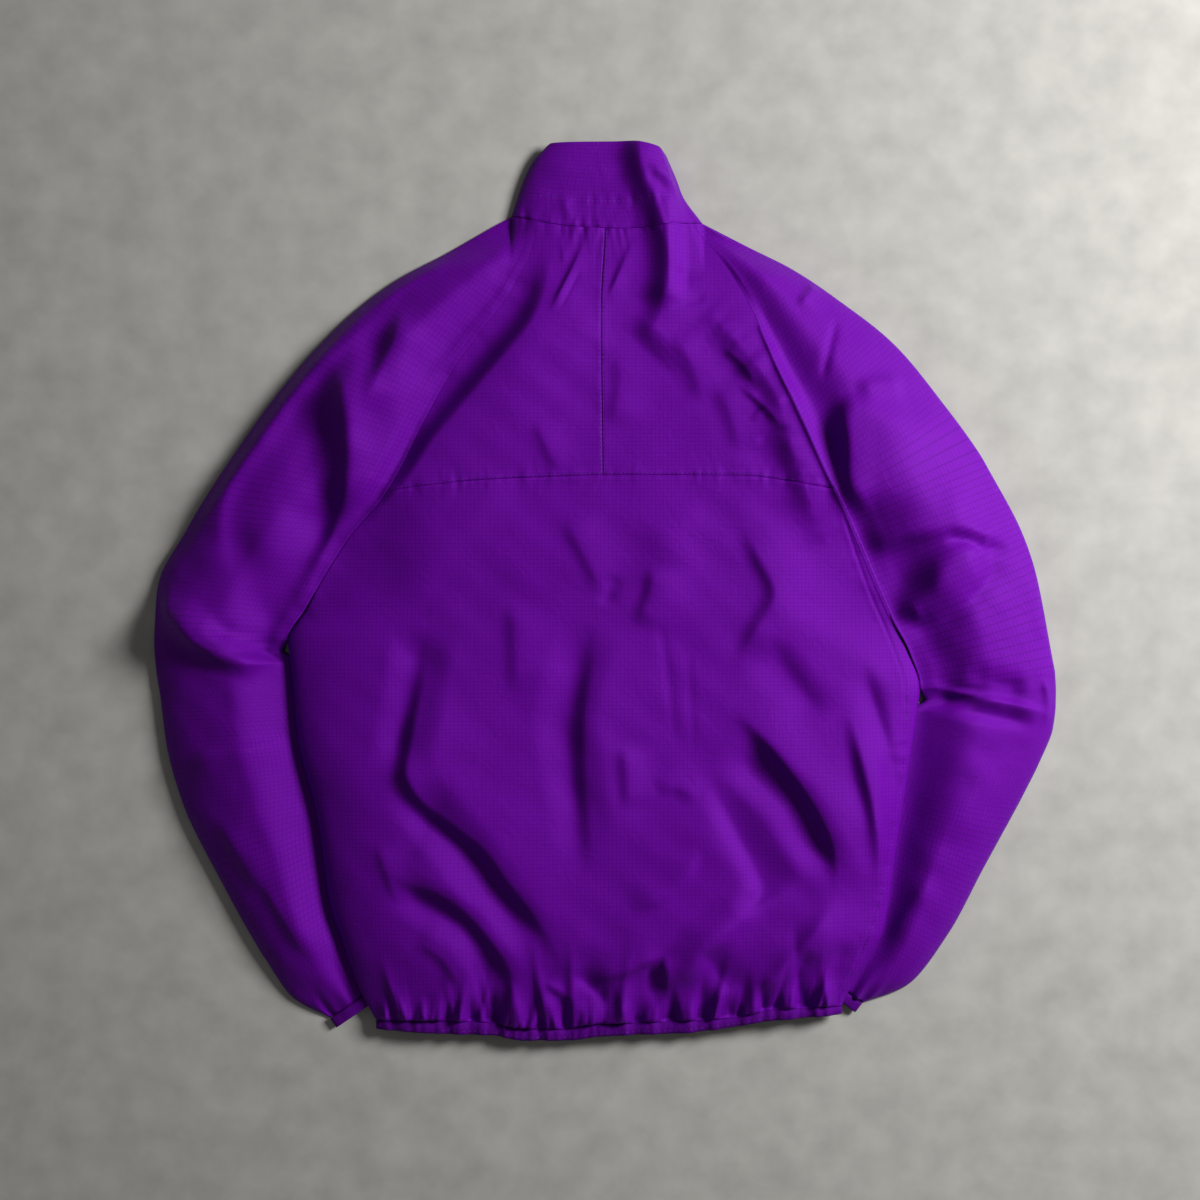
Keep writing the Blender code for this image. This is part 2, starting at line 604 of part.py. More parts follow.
def keep(name, bm, finish):
    """The bmesh becomes a named object of the jacket, with its material."""
    mesh = bpy.data.meshes.new(name)
    bm.to_mesh(mesh)
    bm.free()
    mesh.materials.append(finish)
    piece = bpy.data.objects.new(name, mesh)
    jacket.objects.link(piece)
    return piece


def sheet(name, rows, columns, place, wall, finish, turned=False):
    """A sheet whose outside is the surface place(row, column). Its wall lies inside that surface."""
    bm = bmesh.new()
    bmesh.ops.create_grid(bm, x_segments=columns, y_segments=rows, size=1.0)
    for vertex in bm.verts:
        column = round((vertex.co.x + 1) / 2 * columns)
        row = round((1 - vertex.co.y) / 2 * rows)
        vertex.co = place(row, column)
    if turned:
        bmesh.ops.reverse_faces(bm, faces=bm.faces[:])
    piece = keep(name, bm, finish)
    solid = piece.modifiers.new("wall", "SOLIDIFY")
    solid.thickness = wall
    solid.offset = -1.0
    solid.use_even_offset = True
    return piece


def box(bm, low, high):
    """Add a box between two corners."""
    made = bmesh.ops.create_cube(bm, size=1.0)
    for vertex in made["verts"]:
        vertex.co = Vector(mix(low[k], high[k], vertex.co[k] + 0.5) for k in range(3))


def make_yoke(side, finish):
    """One half of the yoke, from the centre-back seam to the raglan seam."""
    sign = -1 if side == "left" else 1

    def place(row, column):
        column = column if side == "left" else HALF_COLUMNS - column
        point = back_point(side, row, column)
        point.y += {0: -SEAM / 2, YOKE_ROWS: SEAM / 2}.get(row, 0.0)
        point.x += sign * {0: -SLANT, HALF_COLUMNS: SEAM / 2}.get(column, 0.0)
        return point

    sheet(f"back_yoke_{side}", YOKE_ROWS, HALF_COLUMNS, place, CLOTH, finish)


def make_lower_back(finish):
    """The lower back, from the yoke seam to the hem and from edge to edge."""

    def place(row, column):
        side = "left" if column <= HALF_COLUMNS else "right"
        sign = -1 if side == "left" else 1
        column = column if side == "left" else 2 * HALF_COLUMNS - column
        point = back_point(side, YOKE_ROWS + row, column)
        point.y += {0: -SEAM / 2, LAST_ROW - YOKE_ROWS: SEAM / 2}.get(row, 0.0)
        if column == 0:
            point.x -= sign * SLANT * (1 - upright(side, YOKE_ROWS + row))
        return point

    sheet("back_lower", LAST_ROW - YOKE_ROWS, 2 * HALF_COLUMNS, place, CLOTH, finish)


def make_front(side, finish):
    """A front, from the raglan and side seams to the zip, lying on the surface."""
    sign = -1 if side == "left" else 1

    def place(row, column):
        column = column if side == "left" else FRONT_COLUMNS - column
        point = front_point(side, row, column)
        point.y += {0: -SEAM / 2, LAST_ROW: SEAM / 2}.get(row, 0.0)
        if column == 0 and row < UNDERARM_ROW:
            point.x -= sign * SLANT
        return point

    sheet(f"front_{side}", LAST_ROW, FRONT_COLUMNS, place, CLOTH, finish, turned=True)


def make_sleeve(side, finish):
    """A raglan sleeve, one piece from the back's seam over the outer fold to the front's seam."""
    sections = sleeve_sections(side)
    last = len(sections) - 1

    def place(row, column):
        point = sleeve_point(sections[row], column)
        if row == 0:
            point.y -= SEAM
        return point

    sheet(f"sleeve_{side}", last, SLEEVE_COLUMNS - 1, place, CLOTH, finish, turned=side == "left")


def make_cuff(side, finish):
    """An elastic binding round the sleeve's end: a flattened ring, open along the arm."""
    end = ARMS[side][-1]
    seam = Vector(end.seam)
    fold = Vector(end.fold)
    across = (fold - seam).normalized()
    outward = Vector((across.y, -across.x)) if side == "right" else Vector((-across.y, across.x))
    ring = 2 * CUFF_COLUMNS
    width = (fold - seam).length

    bm = bmesh.new()
    bmesh.ops.create_grid(bm, x_segments=ring, y_segments=1, size=1.0)
    for vertex in bm.verts:
        step = round((vertex.co.x + 1) / 2 * ring)
        along = SEAM if vertex.co.y > 0 else SEAM + CUFF_DEPTH
        upper = step <= CUFF_COLUMNS
        turn = math.pi * (step if upper else ring - step) / CUFF_COLUMNS
        share = (1 - math.cos(turn)) / 2
        rounding = math.sqrt(max(1 - abs(2 * share - 1) ** CUFF_ROUNDING, 0.0))
        height = mix(CUFF_TOP / 2, CUFF_TOP if upper else 0.0, rounding)
        place = seam + across * width * share + outward * along
        vertex.co = (place.x, place.y, height)
    bmesh.ops.remove_doubles(bm, verts=bm.verts[:], dist=MERGE)
    if side == "left":
        bmesh.ops.reverse_faces(bm, faces=bm.faces[:])
    piece = keep(f"cuff_{side}", bm, finish)
    solid = piece.modifiers.new("wall", "SOLIDIFY")
    solid.thickness = BINDING
    solid.offset = -1.0
    solid.use_even_offset = True


def make_hem(finish):
    """An elastic binding round the hem: over the back from side to side, and back under it to the zip."""
    back = 2 * HALF_COLUMNS
    columns = back + 2 * FRONT_COLUMNS

    def place(row, column):
        if column < FRONT_COLUMNS:
            side, point = "left", front_point("left", LAST_ROW, FRONT_COLUMNS - column)
        elif column <= FRONT_COLUMNS + back:
            across = column - FRONT_COLUMNS
            side = "left" if across <= HALF_COLUMNS else "right"
            point = back_point(side, LAST_ROW, across if side == "left" else back - across)
        else:
            side, point = "right", front_point("right", LAST_ROW, column - FRONT_COLUMNS - back)
        point.y = curve(HEM_SEAM, point.x) - SEAM / 2 if row == 0 else curve(HEM_EDGE, point.x)
        return point

    sheet("hem_binding", 1, columns, place, BINDING, finish)


def make_collar(finish):
    """A stand collar pressed flat: its back on top, its sides folded, its fronts underneath to the zip."""
    back = 2 * HALF_COLUMNS
    front = FRONT_COLUMNS + 1  # the last one runs from the raglan seam to the fold
    columns = back + 2 * front + 2

    def side_place(side, up):
        rows = COLLAR_SIDES[side]
        return Vector(curve([(row[0], row[k]) for row in rows], up) for k in (1, 2))

    def off_line(side, up):
        """How far the folded side's y is from a straight run between its ends."""
        low, high = side_place(side, 0.0).y, side_place(side, 1.0).y
        return side_place(side, up).y - mix(low, high, up)

    def back_place(share, up):
        left, right = side_place("left", up), side_place("right", up)
        x = mix(left.x, right.x, share)
        base_y = curve(NECK_SEAM, mix(NECK_SEAM[0][0], NECK_SEAM[-1][0], share))
        crest_y = curve(COLLAR_CREST, mix(COLLAR_CREST[0][0], COLLAR_CREST[-1][0], share))
        y = mix(base_y, crest_y, up) + mix(off_line("left", up), off_line("right", up), share)
        rounding = math.sqrt(max(1 - abs(2 * share - 1) ** NECK_ROUNDING, 0.0))
        middle = mix(NECK_TOP, COLLAR_TOP, math.sin(math.pi * up))
        return Vector((x, y, mix(FOLD_HEIGHT, middle, rounding)))

    def front_place(side, step, up):
        sign = -1 if side == "left" else 1
        fold, fold_base = side_place(side, up), side_place(side, 0.0)
        base = front_point(side, 0, FRONT_COLUMNS - step) if step < front else fold_base
        width = abs(fold_base.x) - ZIP_GAP
        share = max(abs(base.x) - ZIP_GAP, 0.0) / width
        inset = FOLD_INSET if step == front else 0.0
        x = sign * (mix(ZIP_GAP, abs(fold.x), share) - inset)
        crest_y = mix(COLLAR_FRONT_TOP, side_place(side, 1.0).y, share**COLLAR_FRONT_BOW)
        y = mix(base.y, crest_y, up) + off_line(side, up) * share**COLLAR_FRONT_BOW
        y += SEAM * share if up == 0.0 else 0.0  # the neckline is steep towards the fold
        return Vector((x, y, zip_lift(x, y)))

    def place(row, column):
        up = 1 - row / COLLAR_ROWS
        if column <= front:
            point = front_place("left", column, up)
        elif column <= front + 1 + back:
            point = back_place((1 - math.cos(math.pi * (column - front - 1) / back)) / 2, up)
        else:
            point = front_place("right", columns - column, up)
        point.y += SEAM / 2 if row == COLLAR_ROWS else 0.0
        return point

    sheet("collar", COLLAR_ROWS, columns, place, CLOTH, finish)


def make_zip(side, finish):
    """One half of the zip, from the hem to the top of the collar."""
    sign = -1 if side == "left" else 1
    bottom = curve(HEM_EDGE, 0.0)

    def place(row, column):
        across = SEAM / 2 if column == (0 if side == "right" else 1) else ZIP_HALF
        y = mix(COLLAR_FRONT_TOP, bottom, row / ZIP_ROWS)
        return Vector((sign * across, y, zip_lift(0.0, y)))

    sheet(f"zip_{side}", ZIP_ROWS, 1, place, ZIP_WALL, finish, turned=True)


PIVOT_Z = BRIDGE_FLOOR + BRIDGE_BAR + TAB_ROOM + TAB_WALL / math.sqrt(2)
SLIDER_TOP_Y = COLLAR_FRONT_TOP + SEAM + POST_LENGTH
PIVOT_Y = SLIDER_TOP_Y - SLIDER_LENGTH / 2
TAB_TILT = math.asin((PIVOT_Z - TAB_WALL / 2) / TAB_LENGTH)  # the tab's end rests on the surface


def make_slider(finish):
    """The slider at the zip's top: two plates round the zip, a post past its end, and a bridge below."""
    pieces = []
    half = SLIDER_WIDTH / 2
    bottom_y = SLIDER_TOP_Y - SLIDER_LENGTH
    zip_low = ZIP_LIFT - SLIDER_ROOM
    zip_high = ZIP_LIFT + ZIP_WALL + SLIDER_ROOM
    post_y = SLIDER_TOP_Y - POST_LENGTH
    leg = TAB_WALL / math.sqrt(2) + TAB_ROOM  # from the pivot to a leg of the bridge
    foot = leg + BRIDGE_BAR
    post = POST_WIDTH / 2
    side = BRIDGE_WIDTH / 2
    bar = side - BITE / 2
    parts = (
        ((-half, bottom_y, zip_low - SLIDER_PLATE), (half, SLIDER_TOP_Y, zip_low)),
        ((-half, bottom_y, zip_high), (half, SLIDER_TOP_Y, zip_high + SLIDER_PLATE)),
        ((-post, post_y, zip_low - BITE), (post, SLIDER_TOP_Y - BITE, zip_high + BITE)),
        ((-side, PIVOT_Y + leg, BRIDGE_FLOOR), (side, PIVOT_Y + foot, zip_low - BITE)),
        ((-side, PIVOT_Y - foot, BRIDGE_FLOOR), (side, PIVOT_Y - leg, zip_low - BITE)),
        ((-bar, PIVOT_Y - foot + BITE, BRIDGE_FLOOR + BITE / 2),
         (bar, PIVOT_Y + foot - BITE, BRIDGE_FLOOR + BRIDGE_BAR)),
    )
    for k, (low, high) in enumerate(parts):
        bm = bmesh.new()
        box(bm, low, high)
        pieces.append(keep("zip_slider" if k == 0 else f"slider_part_{k}", bm, finish))
    body = pieces[0]
    for part in pieces[1:]:
        jacket.objects.unlink(part)
        helpers.objects.link(part)
        part.hide_render = True
        part.display_type = "WIRE"
        union = body.modifiers.new(part.name, "BOOLEAN")
        union.operation = "UNION"
        union.object = part


def make_tab(finish):
    """The pull tab: a flat plate with a window, which the slider's bridge passes through."""
    outline = bpy.data.curves.new("pull_tab", "CURVE")
    outline.dimensions = "2D"
    outline.fill_mode = "BOTH"
    outline.extrude = TAB_WALL / 2
    half = TAB_WIDTH / 2
    bar = TAB_WALL / 2
    corner = TAB_CORNER
    end = bar - TAB_LENGTH
    shapes = (
        ((-half, bar), (half, bar), (half, end + corner), (half - corner, end), (corner - half, end),
         (-half, end + corner)),
        tuple((sx * TAB_WINDOW_WIDTH / 2, y) for sx, y in
              ((-1, -bar), (-1, -bar - TAB_WINDOW_LENGTH), (1, -bar - TAB_WINDOW_LENGTH), (1, -bar))),
    )
    for points in shapes:
        spline = outline.splines.new("POLY")
        spline.points.add(len(points) - 1)
        spline.use_cyclic_u = True
        for point, (x, y) in zip(spline.points, points):
            point.co = (x, y, 0.0, 1.0)
    outline.materials.append(finish)
    tab = bpy.data.objects.new("pull_tab", outline)
    tab.location = (0.0, PIVOT_Y, PIVOT_Z)
    tab.rotation_euler = (TAB_TILT, 0.0, 0.0)
    jacket.objects.link(tab)


cloth = material("ripstop nylon", CLOTH_COLOUR, 0.42)
binding = material("elastic binding", BINDING_COLOUR, 0.55)
zip_tape = material("zip tape and coil", ZIP_COLOUR, 0.55)
metal = material("painted zinc", METAL_COLOUR, 0.35, 0.6)

make_lower_back(cloth)
for body_side in ("left", "right"):
    make_yoke(body_side, cloth)
    make_front(body_side, cloth)
    make_sleeve(body_side, cloth)
    make_cuff(body_side, binding)
    make_zip(body_side, zip_tape)
make_collar(cloth)
make_hem(binding)
make_slider(metal)
make_tab(metal)
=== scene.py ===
# %% [markdown]
# # A windbreaker jacket, laid face down
# A light nylon jacket lies on its front with the back on top, pressed nearly flat by hand. We load the fixed
# CAD frame, lay thin cloth over the forms of its solids, put in the folds, seams and stitches, give each
# material its weave and sheen, and light it softly from the upper right. Everything is in metres, with +Z up.

# %% Load the fixed frame
import math

import bmesh
import bpy
import numpy as np
from mathutils import Matrix, Vector
from mathutils.bvhtree import BVHTree


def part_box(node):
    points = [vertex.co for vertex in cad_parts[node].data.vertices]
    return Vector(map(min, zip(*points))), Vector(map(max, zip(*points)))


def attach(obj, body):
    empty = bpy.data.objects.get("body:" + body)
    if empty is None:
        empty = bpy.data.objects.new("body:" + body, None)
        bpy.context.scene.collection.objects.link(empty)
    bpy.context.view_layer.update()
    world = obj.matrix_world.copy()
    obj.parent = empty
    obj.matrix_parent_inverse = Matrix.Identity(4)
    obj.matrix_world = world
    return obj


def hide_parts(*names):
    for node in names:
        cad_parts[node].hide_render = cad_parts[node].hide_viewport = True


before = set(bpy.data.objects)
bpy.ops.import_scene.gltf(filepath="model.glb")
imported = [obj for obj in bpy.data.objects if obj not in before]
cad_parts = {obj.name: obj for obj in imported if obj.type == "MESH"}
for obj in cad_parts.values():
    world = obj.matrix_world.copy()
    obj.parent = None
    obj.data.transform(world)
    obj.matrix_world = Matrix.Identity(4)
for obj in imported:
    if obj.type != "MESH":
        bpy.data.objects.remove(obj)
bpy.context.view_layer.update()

# %% [markdown]
# ## Sizes that the pieces share
# The CAD says where each panel begins and ends. The same few sizes are named here, because the cloth is laid
# on the same forms, only on a finer grid and with a wall as thin as real ripstop doubled at its seams.

# %% Sizes
CLOTH = 0.001  # wall of a CAD panel
SEAM = 0.0003  # gap between two pieces
FOLD_HEIGHT = 0.0015
FOLD_INSET = 0.0015
WALL = 0.0003  # wall of the cloth shown here
GAP = 0.0001  # gap between two pieces of it
BAND_WALL = 0.0009  # wall of the elastic bindings
YOKE_ROWS = 9
UNDERARM_ROW = 14
LAST_ROW = 26
NECK_FADE = 0.05
HEM_TOP = 0.0125
SIDE_ROUND = 0.070
RAGLAN_ROUND = 0.100
COVERED_TOP = 0.0070
TUBE_EDGE = 2 * CLOTH + SEAM
RAMP = 0.030
ZIP_HALF = 0.005
ZIP_GAP = ZIP_HALF + SEAM
ZIP_LIFT = 0.0043
COLLAR_TOP = 0.0160
NECK_TOP = 0.0150
CUFF_DEPTH = 0.0095
CUFF_TOP = 0.0076
FLAT_TOP = 0.034  # cloth above this is pressed towards a ceiling
SPARE_TOP = 0.008  # how far above it the ceiling is
COLLAR_FRONT_BASE = 0.255
COLLAR_FRONT_TOP = 0.321
BOW = 1.8

# %% [markdown]
# ## Where the edges run
# Short tables give the outline of the body, the sleeves and the collar, a row for each place where the
# outline turns. A smooth curve through the rows fills in the rest.

# %% The body's edge: y, x, height of the back, height of the front's underside
EDGES = {
    "left": np.array([
        (0.3240, -0.0680, 0.0150, 0.0), (0.3115, -0.0610, 0.0145, 0.0), (0.2620, -0.0805, 0.0140, 0.0),
        (0.2236, -0.1092, 0.0130, 0.0), (0.1905, -0.1327, 0.0120, 0.0), (0.1488, -0.1562, 0.0120, 0.0),
        (0.0855, -0.1890, 0.0120, 0.0), (0.0444, -0.2232, 0.0118, 0.0), (-0.0165, -0.2606, 0.0110, 0.0040),
        (-0.0426, -0.2754, 0.0108, 0.0085), (-0.0687, -0.2727, 0.0108, 0.0085),
        (-0.1253, -0.2675, 0.0108, 0.0085), (-0.1975, -0.2501, 0.0108, 0.0085),
        (-0.2732, -0.2388, 0.0108, 0.0085), (-0.3019, -0.2292, 0.0108, 0.0085),
        (-0.3463, -0.2136, 0.0108, 0.0085), (-0.3741, -0.1988, 0.0093, 0.0070)]),
    "right": np.array([
        (0.3200, 0.0765, 0.0150, 0.0), (0.2862, 0.1022, 0.0170, 0.0), (0.2488, 0.1240, 0.0200, 0.0),
        (0.1931, 0.1475, 0.0220, 0.0), (0.1479, 0.1692, 0.0230, 0.0), (0.0879, 0.1971, 0.0220, 0.0),
        (0.0635, 0.2101, 0.0200, 0.0), (-0.0244, 0.2493, 0.0130, 0.0), (-0.0531, 0.2649, 0.0115, 0.0040),
        (-0.0853, 0.2745, 0.0108, 0.0085), (-0.1053, 0.2719, 0.0108, 0.0085),
        (-0.1601, 0.2640, 0.0108, 0.0085), (-0.2271, 0.2536, 0.0108, 0.0085),
        (-0.2932, 0.2432, 0.0108, 0.0085), (-0.3184, 0.2301, 0.0108, 0.0085),
        (-0.3497, 0.2110, 0.0108, 0.0085), (-0.3610, 0.2066, 0.0102, 0.0079)]),
}
YOKE_END = {"left": 0.0855, "right": 0.0879}
UNDERARM = {"left": -0.0426, "right": -0.0853}
SIGN = {"left": -1, "right": 1}

# %% The sleeves: for a place on the raglan seam, the outer fold and the crown between them
SHOULDERS = {
    "left": np.array([
        (0.3240, -0.0813, 0.3270, 0.0), (0.3115, -0.0960, 0.3190, 0.002), (0.2620, -0.1380, 0.2950, 0.008),
        (0.2236, -0.1805, 0.2723, 0.014), (0.1905, -0.2179, 0.2445, 0.016), (0.1488, -0.2710, 0.1905, 0.018),
        (0.0855, -0.3241, 0.1192, 0.020), (0.0444, -0.3641, 0.0557, 0.022), (-0.0165, -0.3911, 0.0, 0.022),
        (-0.0426, -0.3937, -0.0426, 0.022)]),
    "right": np.array([
        (0.3200, 0.0855, 0.3210, 0.0), (0.2862, 0.1250, 0.3007, 0.004), (0.2488, 0.1650, 0.2805, 0.008),
        (0.1931, 0.2100, 0.2500, 0.011), (0.1479, 0.2519, 0.2166, 0.013), (0.0879, 0.3015, 0.1566, 0.015),
        (0.0635, 0.3319, 0.1131, 0.016), (-0.0244, 0.3737, 0.0270, 0.020),
        (-0.0853, 0.3937, -0.0705, 0.020)]),
}
# Below the underarm: the hidden seam's x and y, the outer fold's x and y, the crown.
ARMS = {
    "left": np.array([
        (-0.2754, -0.0426, -0.3937, -0.0426, 0.022), (-0.2800, -0.0520, -0.3932, -0.0540, 0.022),
        (-0.2450, -0.0660, -0.3915, -0.0720, 0.024), (-0.1953, -0.0861, -0.3885, -0.0905, 0.024),
        (-0.1649, -0.1253, -0.3824, -0.1366, 0.024), (-0.1605, -0.1601, -0.3684, -0.1862, 0.024),
        (-0.1649, -0.1905, -0.3345, -0.2549, 0.022), (-0.1623, -0.2445, -0.2980, -0.3193, 0.018),
        (-0.1570, -0.2906, -0.2710, -0.3567, 0.010), (-0.1614, -0.3184, -0.2397, -0.3732, 0.002)]),
    "right": np.array([
        (0.2745, -0.0853, 0.3937, -0.0705, 0.020), (0.2790, -0.0950, 0.3945, -0.0850, 0.020),
        (0.2500, -0.1090, 0.3943, -0.1000, 0.022), (0.2092, -0.1279, 0.3919, -0.1201, 0.022),
        (0.1920, -0.1420, 0.3800, -0.1500, 0.022), (0.1805, -0.1557, 0.3650, -0.1801, 0.022),
        (0.1701, -0.1818, 0.3310, -0.2427, 0.020), (0.1683, -0.2340, 0.3006, -0.2993, 0.016),
        (0.1614, -0.2732, 0.2632, -0.3454, 0.010), (0.1492, -0.3019, 0.2249, -0.3602, 0.002)]),
}
# How far in from the body's edge a sleeve lies under it: y, reach.
REACHES = {
    "left": ((-0.0426, 0.030), (-0.0620, 0.037), (-0.0861, 0.084), (-0.1253, 0.108), (-0.1601, 0.105),
             (-0.1905, 0.094), (-0.2445, 0.088), (-0.2906, 0.084), (-0.3254, 0.078), (-0.3450, 0.048),
             (-0.3741, 0.030)),
    "right": ((-0.0853, 0.030), (-0.1090, 0.036), (-0.1279, 0.067), (-0.1557, 0.091), (-0.1818, 0.097),
              (-0.2340, 0.091), (-0.2732, 0.091), (-0.3062, 0.102), (-0.3300, 0.060), (-0.3610, 0.030)),
}

# %% Seams across the body, and the collar's outline
NECK_SEAM = ((-0.0813, 0.3270), (-0.0680, 0.3240), (-0.0509, 0.3193), (-0.0178, 0.3158), (0.0126, 0.3145),
             (0.0431, 0.3155), (0.0666, 0.3188), (0.0765, 0.3200), (0.0855, 0.3210))
YOKE_SEAM = ((-0.1890, 0.0855), (-0.1779, 0.0879), (-0.1431, 0.0922), (-0.1083, 0.0957), (-0.0552, 0.0983),
             (-0.0013, 0.1001), (0.0518, 0.1001), (0.1240, 0.0995), (0.1649, 0.0935), (0.1971, 0.0879))
HEM_SEAM = ((-0.1988, -0.3741), (-0.1580, -0.3735), (-0.0987, -0.3750), (-0.0770, -0.3802), (-0.0378, -0.3808),
            (-0.0100, -0.3770), (0.0310, -0.3752), (0.0740, -0.3735), (0.1135, -0.3705), (0.1466, -0.3632),
            (0.2066, -0.3610))
HEM_EDGE = ((-0.1988, -0.3812), (-0.1431, -0.3845), (-0.0987, -0.3863), (-0.0709, -0.3905), (-0.0326, -0.3906),
            (-0.0048, -0.3871), (0.0309, -0.3854), (0.0631, -0.3845), (0.1135, -0.3785), (0.1353, -0.3741),
            (0.1579, -0.3718), (0.2066, -0.3680))
CENTRE_BACK = ((0.3145, 0.0004), (0.2793, -0.0013), (0.2488, -0.0028), (0.2097, -0.0030), (0.1053, -0.0018),
               (-0.3800, 0.0))  # y, x
BACK_CROWN = ((0.3145, 0.0150), (0.2700, 0.0180), (0.2000, 0.0205), (0.1000, 0.0220), (0.0, 0.0240),
              (-0.1000, 0.0270), (-0.2000, 0.0300), (-0.3000, 0.0300), (-0.3450, 0.0220),
               (-0.3770, HEM_TOP))  # y, z
COLLAR_SIDES = {
    "left": ((0.0, -0.0813, 0.3270), (0.5, -0.0709, 0.3580), (0.8, -0.0620, 0.3760), (1.0, -0.0535, 0.3850)),
    "right": ((0.0, 0.0855, 0.3210), (0.4, 0.0685, 0.3445), (0.7, 0.0630, 0.3590), (1.0, 0.0540, 0.3800)),
}
COLLAR_CREST = ((-0.0535, 0.3850), (-0.0457, 0.3895), (0.0135, 0.3898), (0.0448, 0.3854), (0.0540, 0.3800))


# %% [markdown]
# ## Curves on whole arrays
# A panel has tens of thousands of vertices. numpy works on all of them at once, so each helper below takes
# arrays of places instead of one place.

# %% Curves
def mix(first, second, share):
    return first + (second - first) * share


def ease(share):
    """0 to 1 along an S, for shares that may run past either end."""
    share = np.clip(share, 0.0, 1.0)
    return share * share * (3 - 2 * share)


def curve(rows, key):
    """Values at keys on a smooth curve through rows of (key, value), which never swings past its rows."""
    rows = np.array(sorted((row[0], row[1]) for row in rows), dtype=float)
    keys, values = rows.T
    key = np.clip(np.asarray(key, dtype=float), keys[0], keys[-1])
    steps = np.diff(keys)
    slopes = np.diff(values) / steps
    product = slopes[:-1] * slopes[1:]
    total = np.where(product > 0, slopes[:-1] + slopes[1:], 1.0)
    inner = np.where(product > 0, 2 * product / total, 0.0)
    tangents = np.concatenate([slopes[:1], inner, slopes[-1:]])
    i = np.clip(np.searchsorted(keys, key, side="right") - 1, 0, len(steps) - 1)
    t = (key - keys[i]) / steps[i]
    bend = tangents[i] * t * (1 - t) ** 2 - tangents[i + 1] * t * t * (1 - t)
    return mix(values[i], values[i + 1], ease(t)) + steps[i] * bend


def column(table, key_column, value_column, key):
    return curve(table[:, [key_column, value_column]], key)


def edge_x(side, y):
    return column(EDGES[side], 0, 1, y)


def station(side, row):
    """y of a row at the body's edge. The sleeve's rows start at the same places."""
    neck, hem = EDGES[side][0, 0], EDGES[side][-1, 0]
    return np.interp(row, (0, YOKE_ROWS, UNDERARM_ROW, LAST_ROW), (neck, YOKE_END[side], UNDERARM[side], hem))


# %% [markdown]
# ## Folds
# A fold is a bent line with a width, a height and a taper at both ends. Cloth rises softly on one side of a
# fold and drops faster on the other, so each fold may lean. Troughs have a negative height. They are listed
# one by one, uneven in length, depth and spacing, as cloth pushed together by the elastic hem really lies.

# %% Distance to a bent line
def rounded(points, steps=5):
    """A smoother line through points."""
    points = np.array(points, dtype=float)
    ends = np.vstack([2 * points[0] - points[1], points, 2 * points[-1] - points[-2]])
    line = []
    for a, b, c, d in zip(ends, ends[1:], ends[2:], ends[3:]):
        for t in np.arange(steps) / steps:
            line.append(0.5 * (2 * b + (c - a) * t + (2 * a - 5 * b + 4 * c - d) * t * t
                               + (3 * b - a - 3 * c + d) * t ** 3))
    return np.array(line + [points[-1]])


def beside(line, x, y):
    """For each place: how far along the line it is, from 0 to 1, how far off it, and on which side."""
    lengths = np.hypot(*np.diff(line, axis=0).T)
    starts = np.concatenate([[0.0], np.cumsum(lengths)])
    best = np.full(x.shape, 1e9)
    along = np.zeros(x.shape)
    turn = np.ones(x.shape)
    for (ax, ay), (bx, by), length, start in zip(line, line[1:], lengths, starts):
        ux, uy = (bx - ax) / length, (by - ay) / length
        t = np.clip((x - ax) * ux + (y - ay) * uy, 0.0, length)
        away = np.hypot(x - ax - ux * t, y - ay - uy * t)
        nearer = away < best
        best = np.where(nearer, away, best)
        along = np.where(nearer, start + t, along)
        turn = np.where(nearer, np.sign((x - ax) * uy - (y - ay) * ux), turn)
    return along / starts[-1], best, turn


def fold(x, y, points, width, height, lean=0.0, crisp=0.0, fade=0.3):
    """Height that one fold adds. lean > 0 makes the right-hand side of the line's way the steeper one."""
    line = rounded(points)
    reach = 2.3 * width * (1 + abs(lean))
    near = ((x > line[:, 0].min() - reach) & (x < line[:, 0].max() + reach)
            & (y > line[:, 1].min() - reach) & (y < line[:, 1].max() + reach))
    added = np.zeros(x.shape)
    if near.any():
        along, away, turn = beside(line, x[near], y[near])
        span = away / (width * (1 - lean * turn))
        body = np.exp(-span ** mix(2.0, 1.15, crisp))
        added[near] = height * body * ease(along / fade) * ease((1 - along) / fade)
    return added


# %% The large folds, which the CAD's forms have too: start, bend, end, half width, height
LARGE_FOLDS = (
    ((-0.156, -0.030), (-0.165, -0.095), (-0.176, -0.160), 0.030, -0.006),  # long trough, upper
    ((-0.176, -0.160), (-0.120, -0.225), (-0.045, -0.335), 0.030, -0.008),  # long trough, lower
    ((-0.190, -0.250), (-0.120, -0.290), (-0.080, -0.350), 0.024, -0.006),  # flank trough
    ((-0.013, -0.025), (-0.035, -0.110), (-0.013, -0.240), 0.030, -0.005),  # middle trough
    ((0.105, -0.130), (0.160, -0.185), (0.200, -0.250), 0.028, -0.008),  # hip trough
    ((0.053, -0.350), (0.085, -0.300), (0.140, -0.255), 0.024, 0.006),  # hip ridge
)
SLEEVE_FOLDS = (
    ((-0.375, -0.015), (-0.335, -0.050), (-0.290, -0.062), 0.022, 0.007),  # left elbow fold
    ((-0.190, 0.235), (-0.200, 0.165), (-0.215, 0.120), 0.026, -0.006),  # left upper arm valley
    ((0.213, 0.172), (0.212, 0.120), (0.212, 0.060), 0.022, 0.006),  # right upper arm ridge
    ((0.265, 0.000), (0.320, 0.045), (0.335, 0.040), 0.022, 0.006),  # right elbow fold
    ((0.278, -0.088), (0.320, -0.097), (0.375, -0.105), 0.020, -0.006),  # right elbow pleat
)

